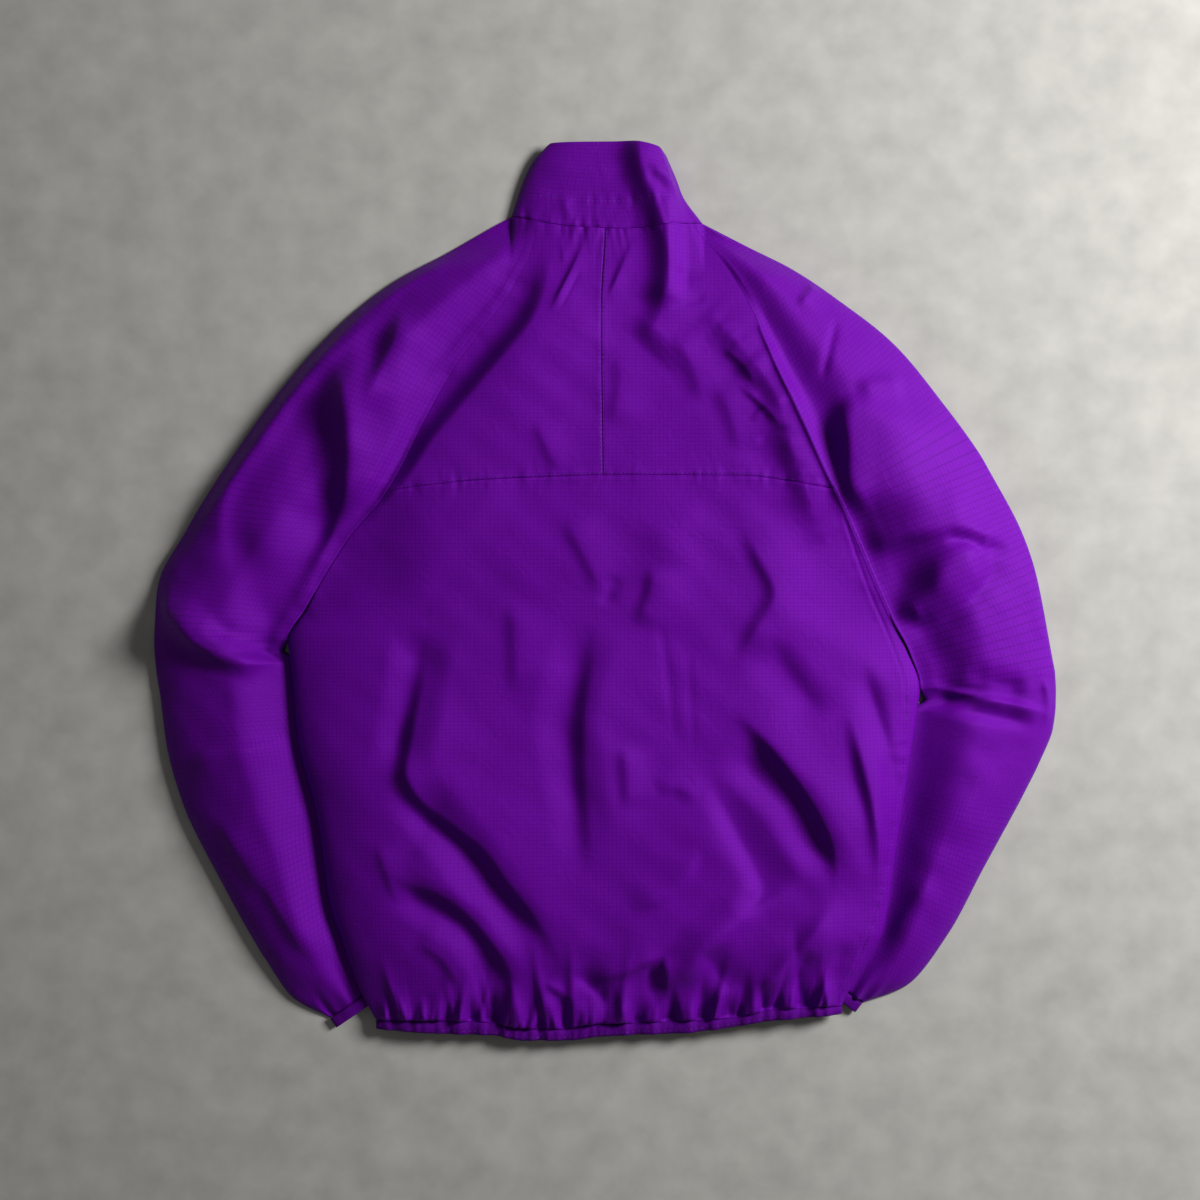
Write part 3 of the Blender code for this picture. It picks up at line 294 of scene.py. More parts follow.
# %% Folds of the body: points, width, height, lean, crispness. Ridges that lean are steep on one side only.
BODY_FOLDS = (
    # the long bent step that starts left of the middle and runs down to the hem
    (((-0.152, -0.030), (-0.153, -0.064), (-0.159, -0.097), (-0.165, -0.130), (-0.168, -0.158),
      (-0.155, -0.181), (-0.129, -0.201), (-0.102, -0.223), (-0.082, -0.250), (-0.062, -0.275),
      (-0.042, -0.305), (-0.028, -0.332)),
     0.028, 0.0095, 0.72, 0.2),
    (((-0.190, -0.235), (-0.172, -0.248), (-0.139, -0.262), (-0.109, -0.286), (-0.086, -0.317),
      (-0.069, -0.352)),
     0.022, 0.0060, 0.68, 0.2),
    (((-0.196, -0.215), (-0.188, -0.240), (-0.176, -0.272)), 0.009, 0.0018, 0.5, 0.4),
    (((-0.165, -0.300), (-0.140, -0.315), (-0.122, -0.345)), 0.014, 0.0030, 0.6, 0.3),
    # soft steps down the middle
    (((-0.004, -0.022), (-0.009, -0.064), (-0.015, -0.104), (-0.016, -0.137), (-0.015, -0.170),
      (-0.012, -0.205), (-0.008, -0.255)), 0.024, 0.0058, 0.66, 0.1),
    (((-0.078, -0.005), (-0.076, -0.045), (-0.075, -0.092)), 0.016, 0.0030, 0.55, 0.1),
    (((-0.036, 0.062), (-0.018, 0.032), (0.000, -0.004)), 0.013, 0.0028, 0.6, 0.3),
    (((0.010, 0.015), (0.005, 0.000), (0.000, -0.016)), 0.007, -0.0022, 0.0, 0.4),
    (((0.042, 0.024), (0.040, 0.000), (0.028, -0.032)), 0.013, 0.0034, 0.6, 0.2),
    (((0.051, 0.085), (0.054, 0.020), (0.044, -0.045)), 0.026, 0.0030, 0.1, 0.0),
    (((0.016, -0.130), (0.019, -0.160), (0.020, -0.190)), 0.012, 0.0032, 0.6, 0.2),
    (((0.047, -0.020), (0.056, -0.085), (0.061, -0.137)), 0.0028, -0.0012, 0.0, 0.7),
    (((0.071, -0.043), (0.074, -0.090), (0.077, -0.140)), 0.0026, -0.0009, 0.0, 0.7),
    (((0.045, -0.175), (0.060, -0.168), (0.082, -0.180)), 0.009, 0.0022, 0.4, 0.3),
    (((0.078, -0.215), (0.072, -0.240), (0.050, -0.262), (0.020, -0.275)), 0.012, 0.0030, -0.5, 0.2),
    # the right side
    (((0.118, 0.062), (0.133, 0.030), (0.147, -0.002), (0.131, -0.034), (0.112, -0.070)),
      0.020, 0.0055, 0.66, 0.2),
    (((0.136, -0.035), (0.160, -0.075), (0.190, -0.115)), 0.016, -0.0048, -0.3, 0.1),
    (((0.110, -0.098), (0.141, -0.131), (0.167, -0.164), (0.187, -0.196), (0.199, -0.228), (0.201, -0.262)),
     0.021, 0.0085, 0.70, 0.2),
    (((0.088, -0.150), (0.100, -0.180), (0.114, -0.208), (0.128, -0.235), (0.136, -0.260), (0.118, -0.281),
      (0.084, -0.298)), 0.018, -0.0080, 0.45, 0.3),
    (((0.210, -0.098), (0.219, -0.135), (0.230, -0.180), (0.238, -0.225), (0.240, -0.275)),
      0.021, 0.0085, 0.70, 0.2),
    (((0.219, -0.055), (0.235, -0.105), (0.249, -0.155), (0.251, -0.195)), 0.010, -0.0045, -0.3, 0.3),
    # ridges and hollows that gather towards the hem
    (((0.067, -0.342), (0.082, -0.315), (0.104, -0.292), (0.137, -0.272), (0.174, -0.250)),
      0.013, 0.0058, -0.35, 0.2),
    (((0.120, -0.363), (0.136, -0.345), (0.156, -0.324), (0.186, -0.288), (0.201, -0.262)),
      0.013, 0.0068, -0.35, 0.2),
    (((0.080, -0.303), (0.098, -0.328), (0.110, -0.360)), 0.012, -0.0058, 0.3, 0.3),
    (((0.178, -0.306), (0.165, -0.335), (0.152, -0.360)), 0.009, -0.0040, 0.3, 0.3),
    (((0.210, -0.300), (0.198, -0.330), (0.186, -0.356)), 0.010, -0.0035, 0.2, 0.3),
    (((0.240, -0.290), (0.222, -0.326), (0.206, -0.354)), 0.008, 0.0030, 0.2, 0.3),
    (((-0.012, -0.338), (0.018, -0.327), (0.052, -0.311)), 0.008, 0.0045, 0.4, 0.5),
    (((0.051, -0.309), (0.053, -0.335), (0.056, -0.366)), 0.005, 0.0042, 0.5, 0.6),
    (((0.040, -0.318), (0.040, -0.340), (0.041, -0.364)), 0.004, -0.0030, 0.0, 0.6),
    (((-0.053, -0.337), (-0.040, -0.346), (-0.026, -0.357)), 0.005, 0.0038, 0.4, 0.6),
    (((-0.030, -0.328), (-0.012, -0.342), (0.004, -0.362)), 0.007, -0.0040, 0.3, 0.4),
    # below the neck
    (((0.030, 0.314), (0.016, 0.284), (0.002, 0.250)), 0.006, 0.0026, 0.6, 0.6),
    (((0.052, 0.275), (0.052, 0.254), (0.045, 0.232), (0.028, 0.214)), 0.022, 0.0070, 0.50, 0.3),
    (((0.070, 0.313), (0.066, 0.294), (0.062, 0.272)), 0.009, 0.0034, 0.5, 0.4),
    (((-0.015, 0.308), (-0.030, 0.275), (-0.047, 0.240)), 0.006, 0.0030, 0.6, 0.5),
    (((-0.020, 0.280), (-0.030, 0.260), (-0.040, 0.240)), 0.003, -0.0010, 0.0, 0.7),
    (((-0.040, 0.314), (-0.037, 0.298), (-0.035, 0.282)), 0.003, 0.0014, 0.4, 0.7),
    (((0.053, 0.244), (0.074, 0.249), (0.090, 0.255)), 0.004, -0.0012, 0.3, 0.5),
    (((0.060, 0.226), (0.079, 0.190), (0.086, 0.160)), 0.018, 0.0032, 0.5, 0.1),
    (((0.098, 0.180), (0.111, 0.150), (0.119, 0.118)), 0.016, 0.0030, 0.5, 0.1),
    (((-0.060, 0.150), (-0.048, 0.120), (-0.034, 0.100)), 0.010, 0.0018, 0.5, 0.3),
    (((0.012, 0.205), (0.014, 0.175), (0.006, 0.140)), 0.014, 0.0020, 0.5, 0.2),
    (((0.116, 0.178), (0.136, 0.160), (0.154, 0.140)), 0.004, 0.0022, 0.4, 0.5),
    (((0.124, 0.146), (0.140, 0.158), (0.158, 0.167)), 0.0035, 0.0018, -0.4, 0.5),
    (((0.130, 0.127), (0.144, 0.136), (0.162, 0.141)), 0.003, -0.0016, 0.0, 0.5),
    (((0.100, 0.212), (0.118, 0.196), (0.132, 0.176)), 0.0045, 0.0018, 0.4, 0.5),
    # the crest beside the right raglan seam
    (((0.078, 0.258), (0.094, 0.238), (0.121, 0.207), (0.147, 0.171), (0.155, 0.146), (0.166, 0.112),
      (0.180, 0.070), (0.200, 0.030)), 0.022, 0.0085, 0.45, 0.3),
    # the billow that drops into the broad valley towards the left underarm
    (((-0.052, 0.316), (-0.047, 0.292), (-0.050, 0.264), (-0.062, 0.232), (-0.086, 0.202), (-0.119, 0.163),
      (-0.147, 0.130), (-0.168, 0.098), (-0.202, 0.060), (-0.225, 0.030)), 0.030, 0.0130, 0.62, 0.1),
    (((-0.078, 0.300), (-0.100, 0.262), (-0.132, 0.222), (-0.150, 0.188)), 0.014, 0.0024, -0.2, 0.1),
)

# %% Folds of both sleeves
ARM_FOLDS = (
    # left: the cloth hangs over a deep hollow, and a light band follows the outer edge
    (((-0.238, 0.204), (-0.227, 0.184), (-0.220, 0.160), (-0.218, 0.124), (-0.220, 0.090), (-0.224, 0.055)),
     0.034, 0.0170, 0.55, 0.5),
    (((-0.247, 0.175), (-0.243, 0.130), (-0.248, 0.080), (-0.268, 0.025)), 0.026, -0.0110, -0.1, 0.1),
    (((-0.177, 0.250), (-0.177, 0.226), (-0.192, 0.190), (-0.208, 0.148)), 0.018, 0.0068, 0.55, 0.4),
    (((-0.168, 0.262), (-0.215, 0.225), (-0.262, 0.180), (-0.300, 0.128), (-0.328, 0.086), (-0.334, 0.045),
      (-0.322, -0.005)), 0.020, 0.0070, -0.50, 0.2),
    (((-0.120, 0.284), (-0.160, 0.272), (-0.205, 0.240)), 0.008, 0.0020, -0.4, 0.4),
    (((-0.322, 0.065), (-0.310, 0.030), (-0.300, -0.010), (-0.284, -0.046)), 0.018, -0.0045, 0.0, 0.1),
    (((-0.222, 0.112), (-0.224, 0.084), (-0.236, 0.048), (-0.252, 0.010), (-0.268, -0.024)),
      0.014, 0.0060, 0.5, 0.4),
    (((-0.390, 0.012), (-0.378, -0.018), (-0.352, -0.042), (-0.318, -0.056), (-0.272, -0.062)),
     0.014, 0.0110, 0.40, 0.4),
    (((-0.345, -0.026), (-0.315, -0.043), (-0.276, -0.049)), 0.009, -0.0070, 0.0, 0.3),
    (((-0.372, -0.160), (-0.348, -0.147), (-0.326, -0.141), (-0.295, -0.135), (-0.262, -0.132)),
     0.014, 0.0046, -0.55, 0.3),
    (((-0.335, -0.190), (-0.316, -0.225), (-0.290, -0.265)), 0.016, 0.0036, 0.4, 0.1),
    (((-0.300, -0.245), (-0.275, -0.285), (-0.255, -0.320)), 0.012, 0.0030, 0.5, 0.2),
    # right: peak, ridge and elbow
    (((0.188, 0.276), (0.178, 0.260), (0.166, 0.244)), 0.006, 0.0040, 0.5, 0.6),
    (((0.202, 0.238), (0.194, 0.211), (0.186, 0.178)), 0.0035, -0.0030, 0.0, 0.5),
    (((0.214, 0.174), (0.212, 0.140), (0.211, 0.097), (0.213, 0.055)), 0.030, 0.0170, 0.66, 0.4),
    (((0.214, 0.173), (0.234, 0.178), (0.262, 0.182)), 0.012, 0.0045, -0.5, 0.3),
    (((0.200, 0.150), (0.205, 0.110), (0.213, 0.070)), 0.014, -0.0050, 0.0, 0.1),
    (((0.219, 0.032), (0.260, 0.050), (0.301, 0.058), (0.335, 0.066)), 0.020, 0.0110, 0.55, 0.2),
    (((0.290, 0.044), (0.307, 0.043), (0.329, 0.037), (0.354, 0.033)), 0.0055, -0.0048, 0.2, 0.4),
    (((0.292, 0.051), (0.315, 0.052), (0.345, 0.046)), 0.006, 0.0034, 0.2, 0.4),
    (((0.252, -0.026), (0.279, -0.003), (0.307, 0.024), (0.328, 0.040)), 0.022, 0.0120, -0.45, 0.3),
    (((0.250, -0.036), (0.290, -0.026), (0.324, 0.003), (0.345, 0.032)), 0.010, -0.0065, 0.0, 0.2),
    (((0.252, -0.026), (0.266, -0.015), (0.275, -0.028)), 0.004, 0.0030, 0.0, 0.6),
    (((0.273, -0.084), (0.301, -0.088), (0.335, -0.095), (0.371, -0.103), (0.390, -0.112)),
     0.0065, 0.0075, -0.3, 0.2),
    (((0.310, -0.072), (0.340, -0.080), (0.368, -0.086)), 0.010, -0.0060, 0.0, 0.3),
    (((0.300, -0.101), (0.340, -0.110), (0.375, -0.118)), 0.007, -0.0035, 0.0, 0.3),
    (((0.372, 0.020), (0.380, -0.010), (0.384, -0.045)), 0.016, 0.0040, 0.5, 0.2),
    (((0.322, 0.150), (0.340, 0.112), (0.358, 0.070)), 0.018, 0.0040, 0.5, 0.2),
    (((0.380, -0.072), (0.386, -0.095), (0.385, -0.121)), 0.008, 0.0040, 0.5, 0.4),
    (((0.330, -0.135), (0.318, -0.175), (0.295, -0.220)), 0.018, 0.0030, 0.4, 0.0),
    (((0.285, -0.240), (0.262, -0.280), (0.240, -0.320)), 0.010, 0.0026, 0.5, 0.2),
)


# %% [markdown]
# ## Puckers along the seams
# A stitched seam is a little shorter than the cloth beside it, so the cloth stands up in short puckers across
# the seam. They are made from a smooth random line along the seam, which dies away within a centimetre or
# two.

# %% Puckers and gathers
def wander(places, seed, step):
    """A smooth random line between -1 and 1, with a turn about every step metres."""
    places = np.asarray(places, dtype=float)
    count = int(np.ceil(places.max() / step)) + 3 if places.size else 3
    values = np.random.RandomState(seed).uniform(-1, 1, count)
    k = np.clip((places / step).astype(int), 0, count - 2)
    return mix(values[k], values[k + 1], ease(places / step - k))


def puckers(x, y, seam, height, reach, step, seed, side=0):
    """Short ripples across a seam. side keeps them to one side of it: -1 or 1, and 0 is both."""
    line = rounded(seam, 3)
    near = ((x > line[:, 0].min() - 3 * reach) & (x < line[:, 0].max() + 3 * reach)
            & (y > line[:, 1].min() - 3 * reach) & (y < line[:, 1].max() + 3 * reach))
    added = np.zeros(x.shape)
    if near.any():
        length = np.hypot(*np.diff(line, axis=0).T).sum()
        along, away, turn = beside(line, x[near], y[near])
        ends = ease(along / 0.04) * ease((1 - along) / 0.04)
        place = along * length + 0.004
        depth = reach * (1 + 0.7 * wander(place, seed + 1, 2.3 * step))
        ripple = (wander(place + 0.25 * away, seed, step)
                  + 0.5 * wander(place - 0.2 * away, seed + 2, 0.55 * step))
        body = np.exp(-(away / depth) ** 1.4)
        kept = 1.0 if side == 0 else np.where(turn == side, 1.0, 0.25)
        added[near] = height * ripple * body * ends * kept
    return added


def seam_groove(x, y, seam, depth=0.0005, half=0.0011, lip=0.0003):
    """The dip on a seam line, with the seam allowance lifting the cloth on both sides of it."""
    line = rounded(seam, 3)
    near = ((x > line[:, 0].min() - 0.02) & (x < line[:, 0].max() + 0.02)
            & (y > line[:, 1].min() - 0.02) & (y < line[:, 1].max() + 0.02))
    added = np.zeros(x.shape)
    if near.any():
        _, away, _ = beside(line, x[near], y[near])
        added[near] = lip * np.exp(-(away / 0.0050) ** 4) - (depth + lip) * np.exp(-(away / half) ** 2)
    return added


# %% [markdown]
# ## The height of the back and of the sleeves
# The same sums as in the CAD, on arrays: the back rises from the raglan seams to its crown, and at the side
# seams it turns down in a quarter of an ellipse.

# %% Heights that the CAD gives
NECK_VALLEY = ((0.030, 0.412), (0.032, 0.372), (0.042, 0.345), (0.052, 0.318), (0.056, 0.285),
               (0.052, 0.240))


def neck_height(x):
    left, right = NECK_SEAM[0][0], NECK_SEAM[-1][0]
    across = np.minimum(np.abs(2 * (x - left) / (right - left) - 1), 1.0)
    return mix(FOLD_HEIGHT, NECK_TOP, np.sqrt(1 - across ** 4))


def neck_valley(x, y):
    """The fold that runs over the neck seam, from the collar's top to below the neck."""
    added = fold(x, y, NECK_VALLEY, 0.024, 0.0125, 0.5, 0.3, fade=0.2)
    return added * ease((0.074 - x) / 0.020)


def below_neck(x, y):
    return ease((curve(NECK_SEAM, x) - y) / NECK_FADE)


def large_fold(x, y, table):
    total = np.zeros(x.shape)
    for start, bend, end, half_width, height in table:
        best = np.zeros(x.shape)
        for a, b, first in ((start, bend, True), (bend, end, False)):
            a, b = np.array(a), np.array(b)
            way = b - a
            share = np.clip(((x - a[0]) * way[0] + (y - a[1]) * way[1]) / (way @ way), 0.0, 1.0)
            away = np.hypot(a[0] + way[0] * share - x, a[1] + way[1] * share - y)
            taper = share if first else 1.0 - share
            best = np.maximum(best, (1 - ease(away / half_width)) * ease(2 * taper))
        total += height * best
    return total


def zip_lift(x, y):
    lengthwise = ease((y - 0.215) / 0.070)
    return ZIP_LIFT * lengthwise * (1 - ease((np.abs(x) - ZIP_GAP) / 0.045))


def upright(row):
    return ease((row - UNDERARM_ROW + 2) / 2)


# %% Seam lines as points
def seam_line(side, top, bottom, count=14):
    ys = np.linspace(top, bottom, count)
    return np.column_stack([edge_x(side, ys), ys])


RAGLAN = {side: seam_line(side, EDGES[side][0, 0], UNDERARM[side]) for side in SIGN}
CENTRE_SEAM = [(float(curve(CENTRE_BACK, y)), y) for y in (0.3140, 0.2790, 0.2490, 0.2100, 0.1550, 0.1000)]
SIDE_SEAM = ((0.208, 0.060), (0.229, 0.001), (0.248, -0.043), (0.2600, -0.086), (0.2580, -0.147),
             (0.2500, -0.199), (0.2390, -0.260), (0.2190, -0.320), (0.2010, -0.3560))
# The narrow ridge beside the right raglan seam, and the crest of the cloth further in.
RAGLAN_RIDGE = ((0.126, 0.246), (0.138, 0.218), (0.151, 0.188), (0.167, 0.156), (0.184, 0.118), (0.198, 0.087),
                (0.219, 0.044))
CREST = ((0.087, 0.244), (0.119, 0.209), (0.146, 0.171), (0.153, 0.146), (0.164, 0.114), (0.178, 0.072),
         (0.196, 0.034))


# %% What the folds, puckers and gathers add to the back
GATHER_LENGTHS = [0.024, 0.034, 0.048, 0.066, 0.090]
GATHER_SHARES = [0.22, 0.27, 0.24, 0.16, 0.11]  # how often each length comes up


def hem_gathers(x, y):
    """Short, uneven gathers that run up from the elastic hem."""
    up = y - curve(HEM_SEAM, x)
    total = np.zeros(x.shape)
    chance = np.random.RandomState(7)
    place = -0.190
    while place < 0.200:
        length = chance.choice(GATHER_LENGTHS, p=GATHER_SHARES)
        width = chance.uniform(0.0024, 0.0046)
        tilt = chance.uniform(-0.32, 0.32)
        height = chance.uniform(0.0034, 0.0082) * chance.choice([1, 1, -1])
        away = (x - place - tilt * up) / (width * (1 + 0.9 * np.clip(up / length, 0, 1)))
        near = np.abs(away) < 3
        lean = 1 - 0.4 * np.sign(away[near])
        body = np.exp(-(np.abs(away[near]) * lean) ** 1.25) * (1 - ease(up[near] / length))
        body = body * ease(up[near] / 0.004 + 0.35)
        total[near] += height * body
        place += chance.uniform(0.0044, 0.0092)
    return total


def undulation(x, y, seed, scale, count=9):
    """A gentle unevenness, from a few crossing waves."""
    chance = np.random.RandomState(seed)
    total = np.zeros(x.shape)
    for _ in range(count):
        angle, phase = chance.uniform(0, math.pi), chance.uniform(0, 2 * math.pi)
        wave = 2 * math.pi / (scale * chance.uniform(0.7, 1.6))
        total += np.sin(wave * (x * math.cos(angle) + y * math.sin(angle)) + phase)
    return total / math.sqrt(count)


def back_relief(x, y):
    total = large_fold(x, y, LARGE_FOLDS + SLEEVE_FOLDS)
    for points, width, height, lean, crisp in BODY_FOLDS:
        total += fold(x, y, points, width, height, lean, crisp)
    total += 0.00055 * undulation(x, y, 3, 0.090) + 0.00022 * undulation(x, y, 5, 0.035)
    return total


def fine_relief(x, y):
    """Puckers and grooves, which run right up to the seams."""
    total = hem_gathers(x, y)
    total += puckers(x, y, YOKE_SEAM, 0.0006, 0.0060, 0.0048, 11)
    total += puckers(x, y, NECK_SEAM, 0.0009, 0.0100, 0.0062, 17)
    total += puckers(x, y, CENTRE_SEAM, 0.0003, 0.0045, 0.0052, 23)
    total += puckers(x, y, CREST, 0.0011, 0.0140, 0.0120, 31)
    total += puckers(x, y, RAGLAN["left"], 0.0006, 0.0120, 0.0110, 37)
    total += puckers(x, y, SIDE_SEAM, 0.0007, 0.0070, 0.0080, 41)
    total += seam_groove(x, y, YOKE_SEAM, 0.0002, 0.0010, 0.0003) + seam_groove(x, y, SIDE_SEAM, 0.0005)
    total += seam_groove(x, y, CENTRE_SEAM, 0.0002, 0.0010, 0.0002)
    total += seam_groove(x, y, RAGLAN["right"][3:], -0.0011, 0.0014, 0.0001)
    total += fold(x, y, RAGLAN_RIDGE, 0.0045, 0.0022, 0.3, 0.5)
    return total


def back_height(side, row, x, y):
    turn = upright(row)
    away = np.abs(x - edge_x(side, y))
    crown = curve(BACK_CROWN, y)
    low = column(EDGES[side], 0, 3, y) + CLOTH + SEAM
    open_edge = mix(column(EDGES[side], 0, 2, y), crown, ease(away / RAGLAN_ROUND))
    round_share = np.sqrt(1 - (1 - np.minimum(away / SIDE_ROUND, 1.0)) ** 2)
    turned = mix(low, crown, round_share)
    hem = EDGES[side][-1, 0]
    fade = mix(1.0, ease(away / 0.03), turn) * ease((y - hem) / 0.03)
    edge_fade = mix(1.0, ease(away / 0.006), turn)
    height = mix(open_edge, turned, turn) + back_relief(x, y) * fade
    height = mix(neck_height(x), height, below_neck(x, y)) + neck_valley(x, y)
    return height + fine_relief(x, y) * edge_fade


def back_plan(side, row, share, seams, rows):
    """x and y on the back. Rows run from neck to hem, shares from the body's edge to the centre back."""
    other = "right" if side == "left" else "left"
    ends = []
    for end_row, seam in zip(rows, seams):
        edge_y = station(side, end_row)
        end_x = mix(edge_x(side, edge_y), curve(CENTRE_BACK, edge_y), share)
        ends.append(curve(seam, end_x))
    down = [(station(s, rows[0]) - station(s, row)) / (station(s, rows[0]) - station(s, rows[1]))
            for s in (side, other)]
    y = mix(ends[0], ends[1], mix(down[0], down[1], share / 2))
    x = mix(edge_x(side, station(side, row)), curve(CENTRE_BACK, y), share)
    return x, y


# %% [markdown]
# ## Laying a panel
# Each panel starts as one flat grid from `bmesh.ops.create_grid`. Its vertices are then moved to their
# places, and a UV map in metres keeps the weave lying along the cloth. Rows and columns crowd towards a seam,
# where the cloth bends most.

# %% Laying a panel on its place
def places(count, length, start=True, end=True):
    """Shares from 0 to 1, evenly spread, with a few close rows at the chosen ends."""
    close = np.array([0.0007, 0.0016, 0.0028]) / length
    inner = np.linspace(0, 1, count + 1)
    inner = inner[(inner > close[-1] * 1.2) & (inner < 1 - close[-1] * 1.2)]
    first = np.concatenate([[0.0], close]) if start else np.array([0.0])
    last = np.concatenate([1 - close[::-1], [1.0]]) if end else np.array([1.0])
    return np.concatenate([first, inner, last])


def lay(name, across, down, place, finish, replaced, wall=WALL, turned=False):
    """A sheet on place(across, down), which gives x, y, z and the two lengths for the weave."""
    bm = bmesh.new()
    bmesh.ops.create_grid(bm, x_segments=len(across) - 1, y_segments=len(down) - 1, size=1.0)
    if turned:
        bmesh.ops.reverse_faces(bm, faces=bm.faces[:])
    mesh = bpy.data.meshes.new(name)
    bm.to_mesh(mesh)
    bm.free()
    count = len(mesh.vertices)
    flat = np.empty(count * 3)
    mesh.vertices.foreach_get("co", flat)
    flat = flat.reshape(count, 3)
    u = across[np.rint((flat[:, 0] + 1) / 2 * (len(across) - 1)).astype(int)]
    v = down[np.rint((1 - flat[:, 1]) / 2 * (len(down) - 1)).astype(int)]
    x, y, z, weave_u, weave_v = place(u, v)
    over = np.maximum(z - FLAT_TOP, 0.0)
    z = np.minimum(z, FLAT_TOP) + SPARE_TOP * np.tanh(over / SPARE_TOP)
    mesh.vertices.foreach_set("co", np.column_stack([x, y, z]).ravel())
    corner = np.empty(len(mesh.loops), dtype=int)
    mesh.loops.foreach_get("vertex_index", corner)
    uv = mesh.uv_layers.new(name="weave")
    uv.data.foreach_set("uv", np.column_stack([weave_u, weave_v])[corner].ravel())
    mesh.polygons.foreach_set("use_smooth", np.ones(len(mesh.polygons), dtype=bool))
    mesh.materials.append(finish)
    mesh.update()
    piece = bpy.data.objects.new(name, mesh)
    bpy.context.scene.collection.objects.link(piece)
    solid = piece.modifiers.new("wall", "SOLIDIFY")
    solid.thickness = wall
    solid.offset = -1.0
    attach(piece, "jacket")
    if replaced:
        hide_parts(*replaced)
    areas = np.empty(len(mesh.polygons))
    mesh.polygons.foreach_get("area", areas)
    print(f"{name}: {len(mesh.polygons)} faces, {areas.sum():.4f} m2 of cloth")
    return piece


# %% [markdown]
# ## The cloth and its colours
# Ripstop nylon is a plain weave with a thicker thread every few millimetres in both directions, which shows
# as a fine grid. Its yarns are bright, so the cloth has a satin sheen rather than a gloss. One node group
# draws the grid, the yarns and the fine crumple, and every cloth material uses it with its own values. The
# grid is real, but its thicker threads are tinted darker than the cells as painted shade for their relief.

# %% The weave as a node group
def socket(group, name, kind, into, value=None):
    made = group.interface.new_socket(name=name, in_out="INPUT" if into else "OUTPUT", socket_type=kind)
    if value is not None:
        made.default_value = value
    return made


def wire(tree, *links):
    for start, end in links:
        tree.links.new(start, end)


def math_node(tree, operation, first, second=None, third=None):
    node = tree.nodes.new("ShaderNodeMath")
    node.operation = operation
    for k, value in enumerate((first, second, third)):
        if isinstance(value, (int, float)):
            node.inputs[k].default_value = value
        elif value is not None:
            tree.links.new(value, node.inputs[k])
    return node.outputs[0]


weave = bpy.data.node_groups.new("ripstop weave", "ShaderNodeTree")
socket(weave, "Place", "NodeSocketVector", True)
socket(weave, "Grid", "NodeSocketFloat", True, 0.0034)
socket(weave, "Yarn", "NodeSocketFloat", True, 0.00045)
socket(weave, "Thread height", "NodeSocketFloat", True, 0.00012)
socket(weave, "Crumple height", "NodeSocketFloat", True, 0.0010)
socket(weave, "Height", "NodeSocketFloat", False)
socket(weave, "Thread mask", "NodeSocketFloat", False)
socket(weave, "Uneven", "NodeSocketFloat", False)
entry = weave.nodes.new("NodeGroupInput")
result = weave.nodes.new("NodeGroupOutput")
parts = weave.nodes.new("ShaderNodeSeparateXYZ")
wire(weave, (entry.outputs["Place"], parts.inputs[0]))
threads = []
for axis in ("X", "Y"):
    turns = math_node(weave, "DIVIDE", parts.outputs[axis], entry.outputs["Grid"])
    offset = math_node(weave, "PINGPONG", turns, 0.5)
    threads.append(math_node(weave, "LESS_THAN", offset, 0.075))
thread_mask = math_node(weave, "MAXIMUM", threads[0], threads[1])
yarns = []
for axis in ("X", "Y"):
    turns = math_node(weave, "DIVIDE", parts.outputs[axis], entry.outputs["Yarn"])
    yarns.append(math_node(weave, "SINE", math_node(weave, "MULTIPLY", turns, 2 * math.pi)))
yarn = math_node(weave, "MULTIPLY", yarns[0], yarns[1])
crumple = weave.nodes.new("ShaderNodeTexNoise")
crumple.inputs["Scale"].default_value = 60.0
crumple.inputs["Detail"].default_value = 3.0
crumple.inputs["Roughness"].default_value = 0.55
crumple.inputs["Distortion"].default_value = 0.6
broad = weave.nodes.new("ShaderNodeTexNoise")
broad.inputs["Scale"].default_value = 9.0
broad.inputs["Detail"].default_value = 2.0
wire(weave, (entry.outputs["Place"], crumple.inputs["Vector"]),
     (entry.outputs["Place"], broad.inputs["Vector"]))
creased = math_node(weave, "ABSOLUTE", math_node(weave, "SUBTRACT", crumple.outputs["Fac"], 0.5))
height = math_node(weave, "MULTIPLY", creased, entry.outputs["Crumple height"])
thread_height = math_node(weave, "MULTIPLY", thread_mask, entry.outputs["Thread height"])
height = math_node(weave, "ADD", height, thread_height)
height = math_node(weave, "MULTIPLY_ADD", yarn, 0.00003, height)
wire(weave, (height, result.inputs["Height"]), (thread_mask, result.inputs["Thread mask"]),
     (broad.outputs["Fac"], result.inputs["Uneven"]))
print("weave group:", len(weave.nodes), "nodes")


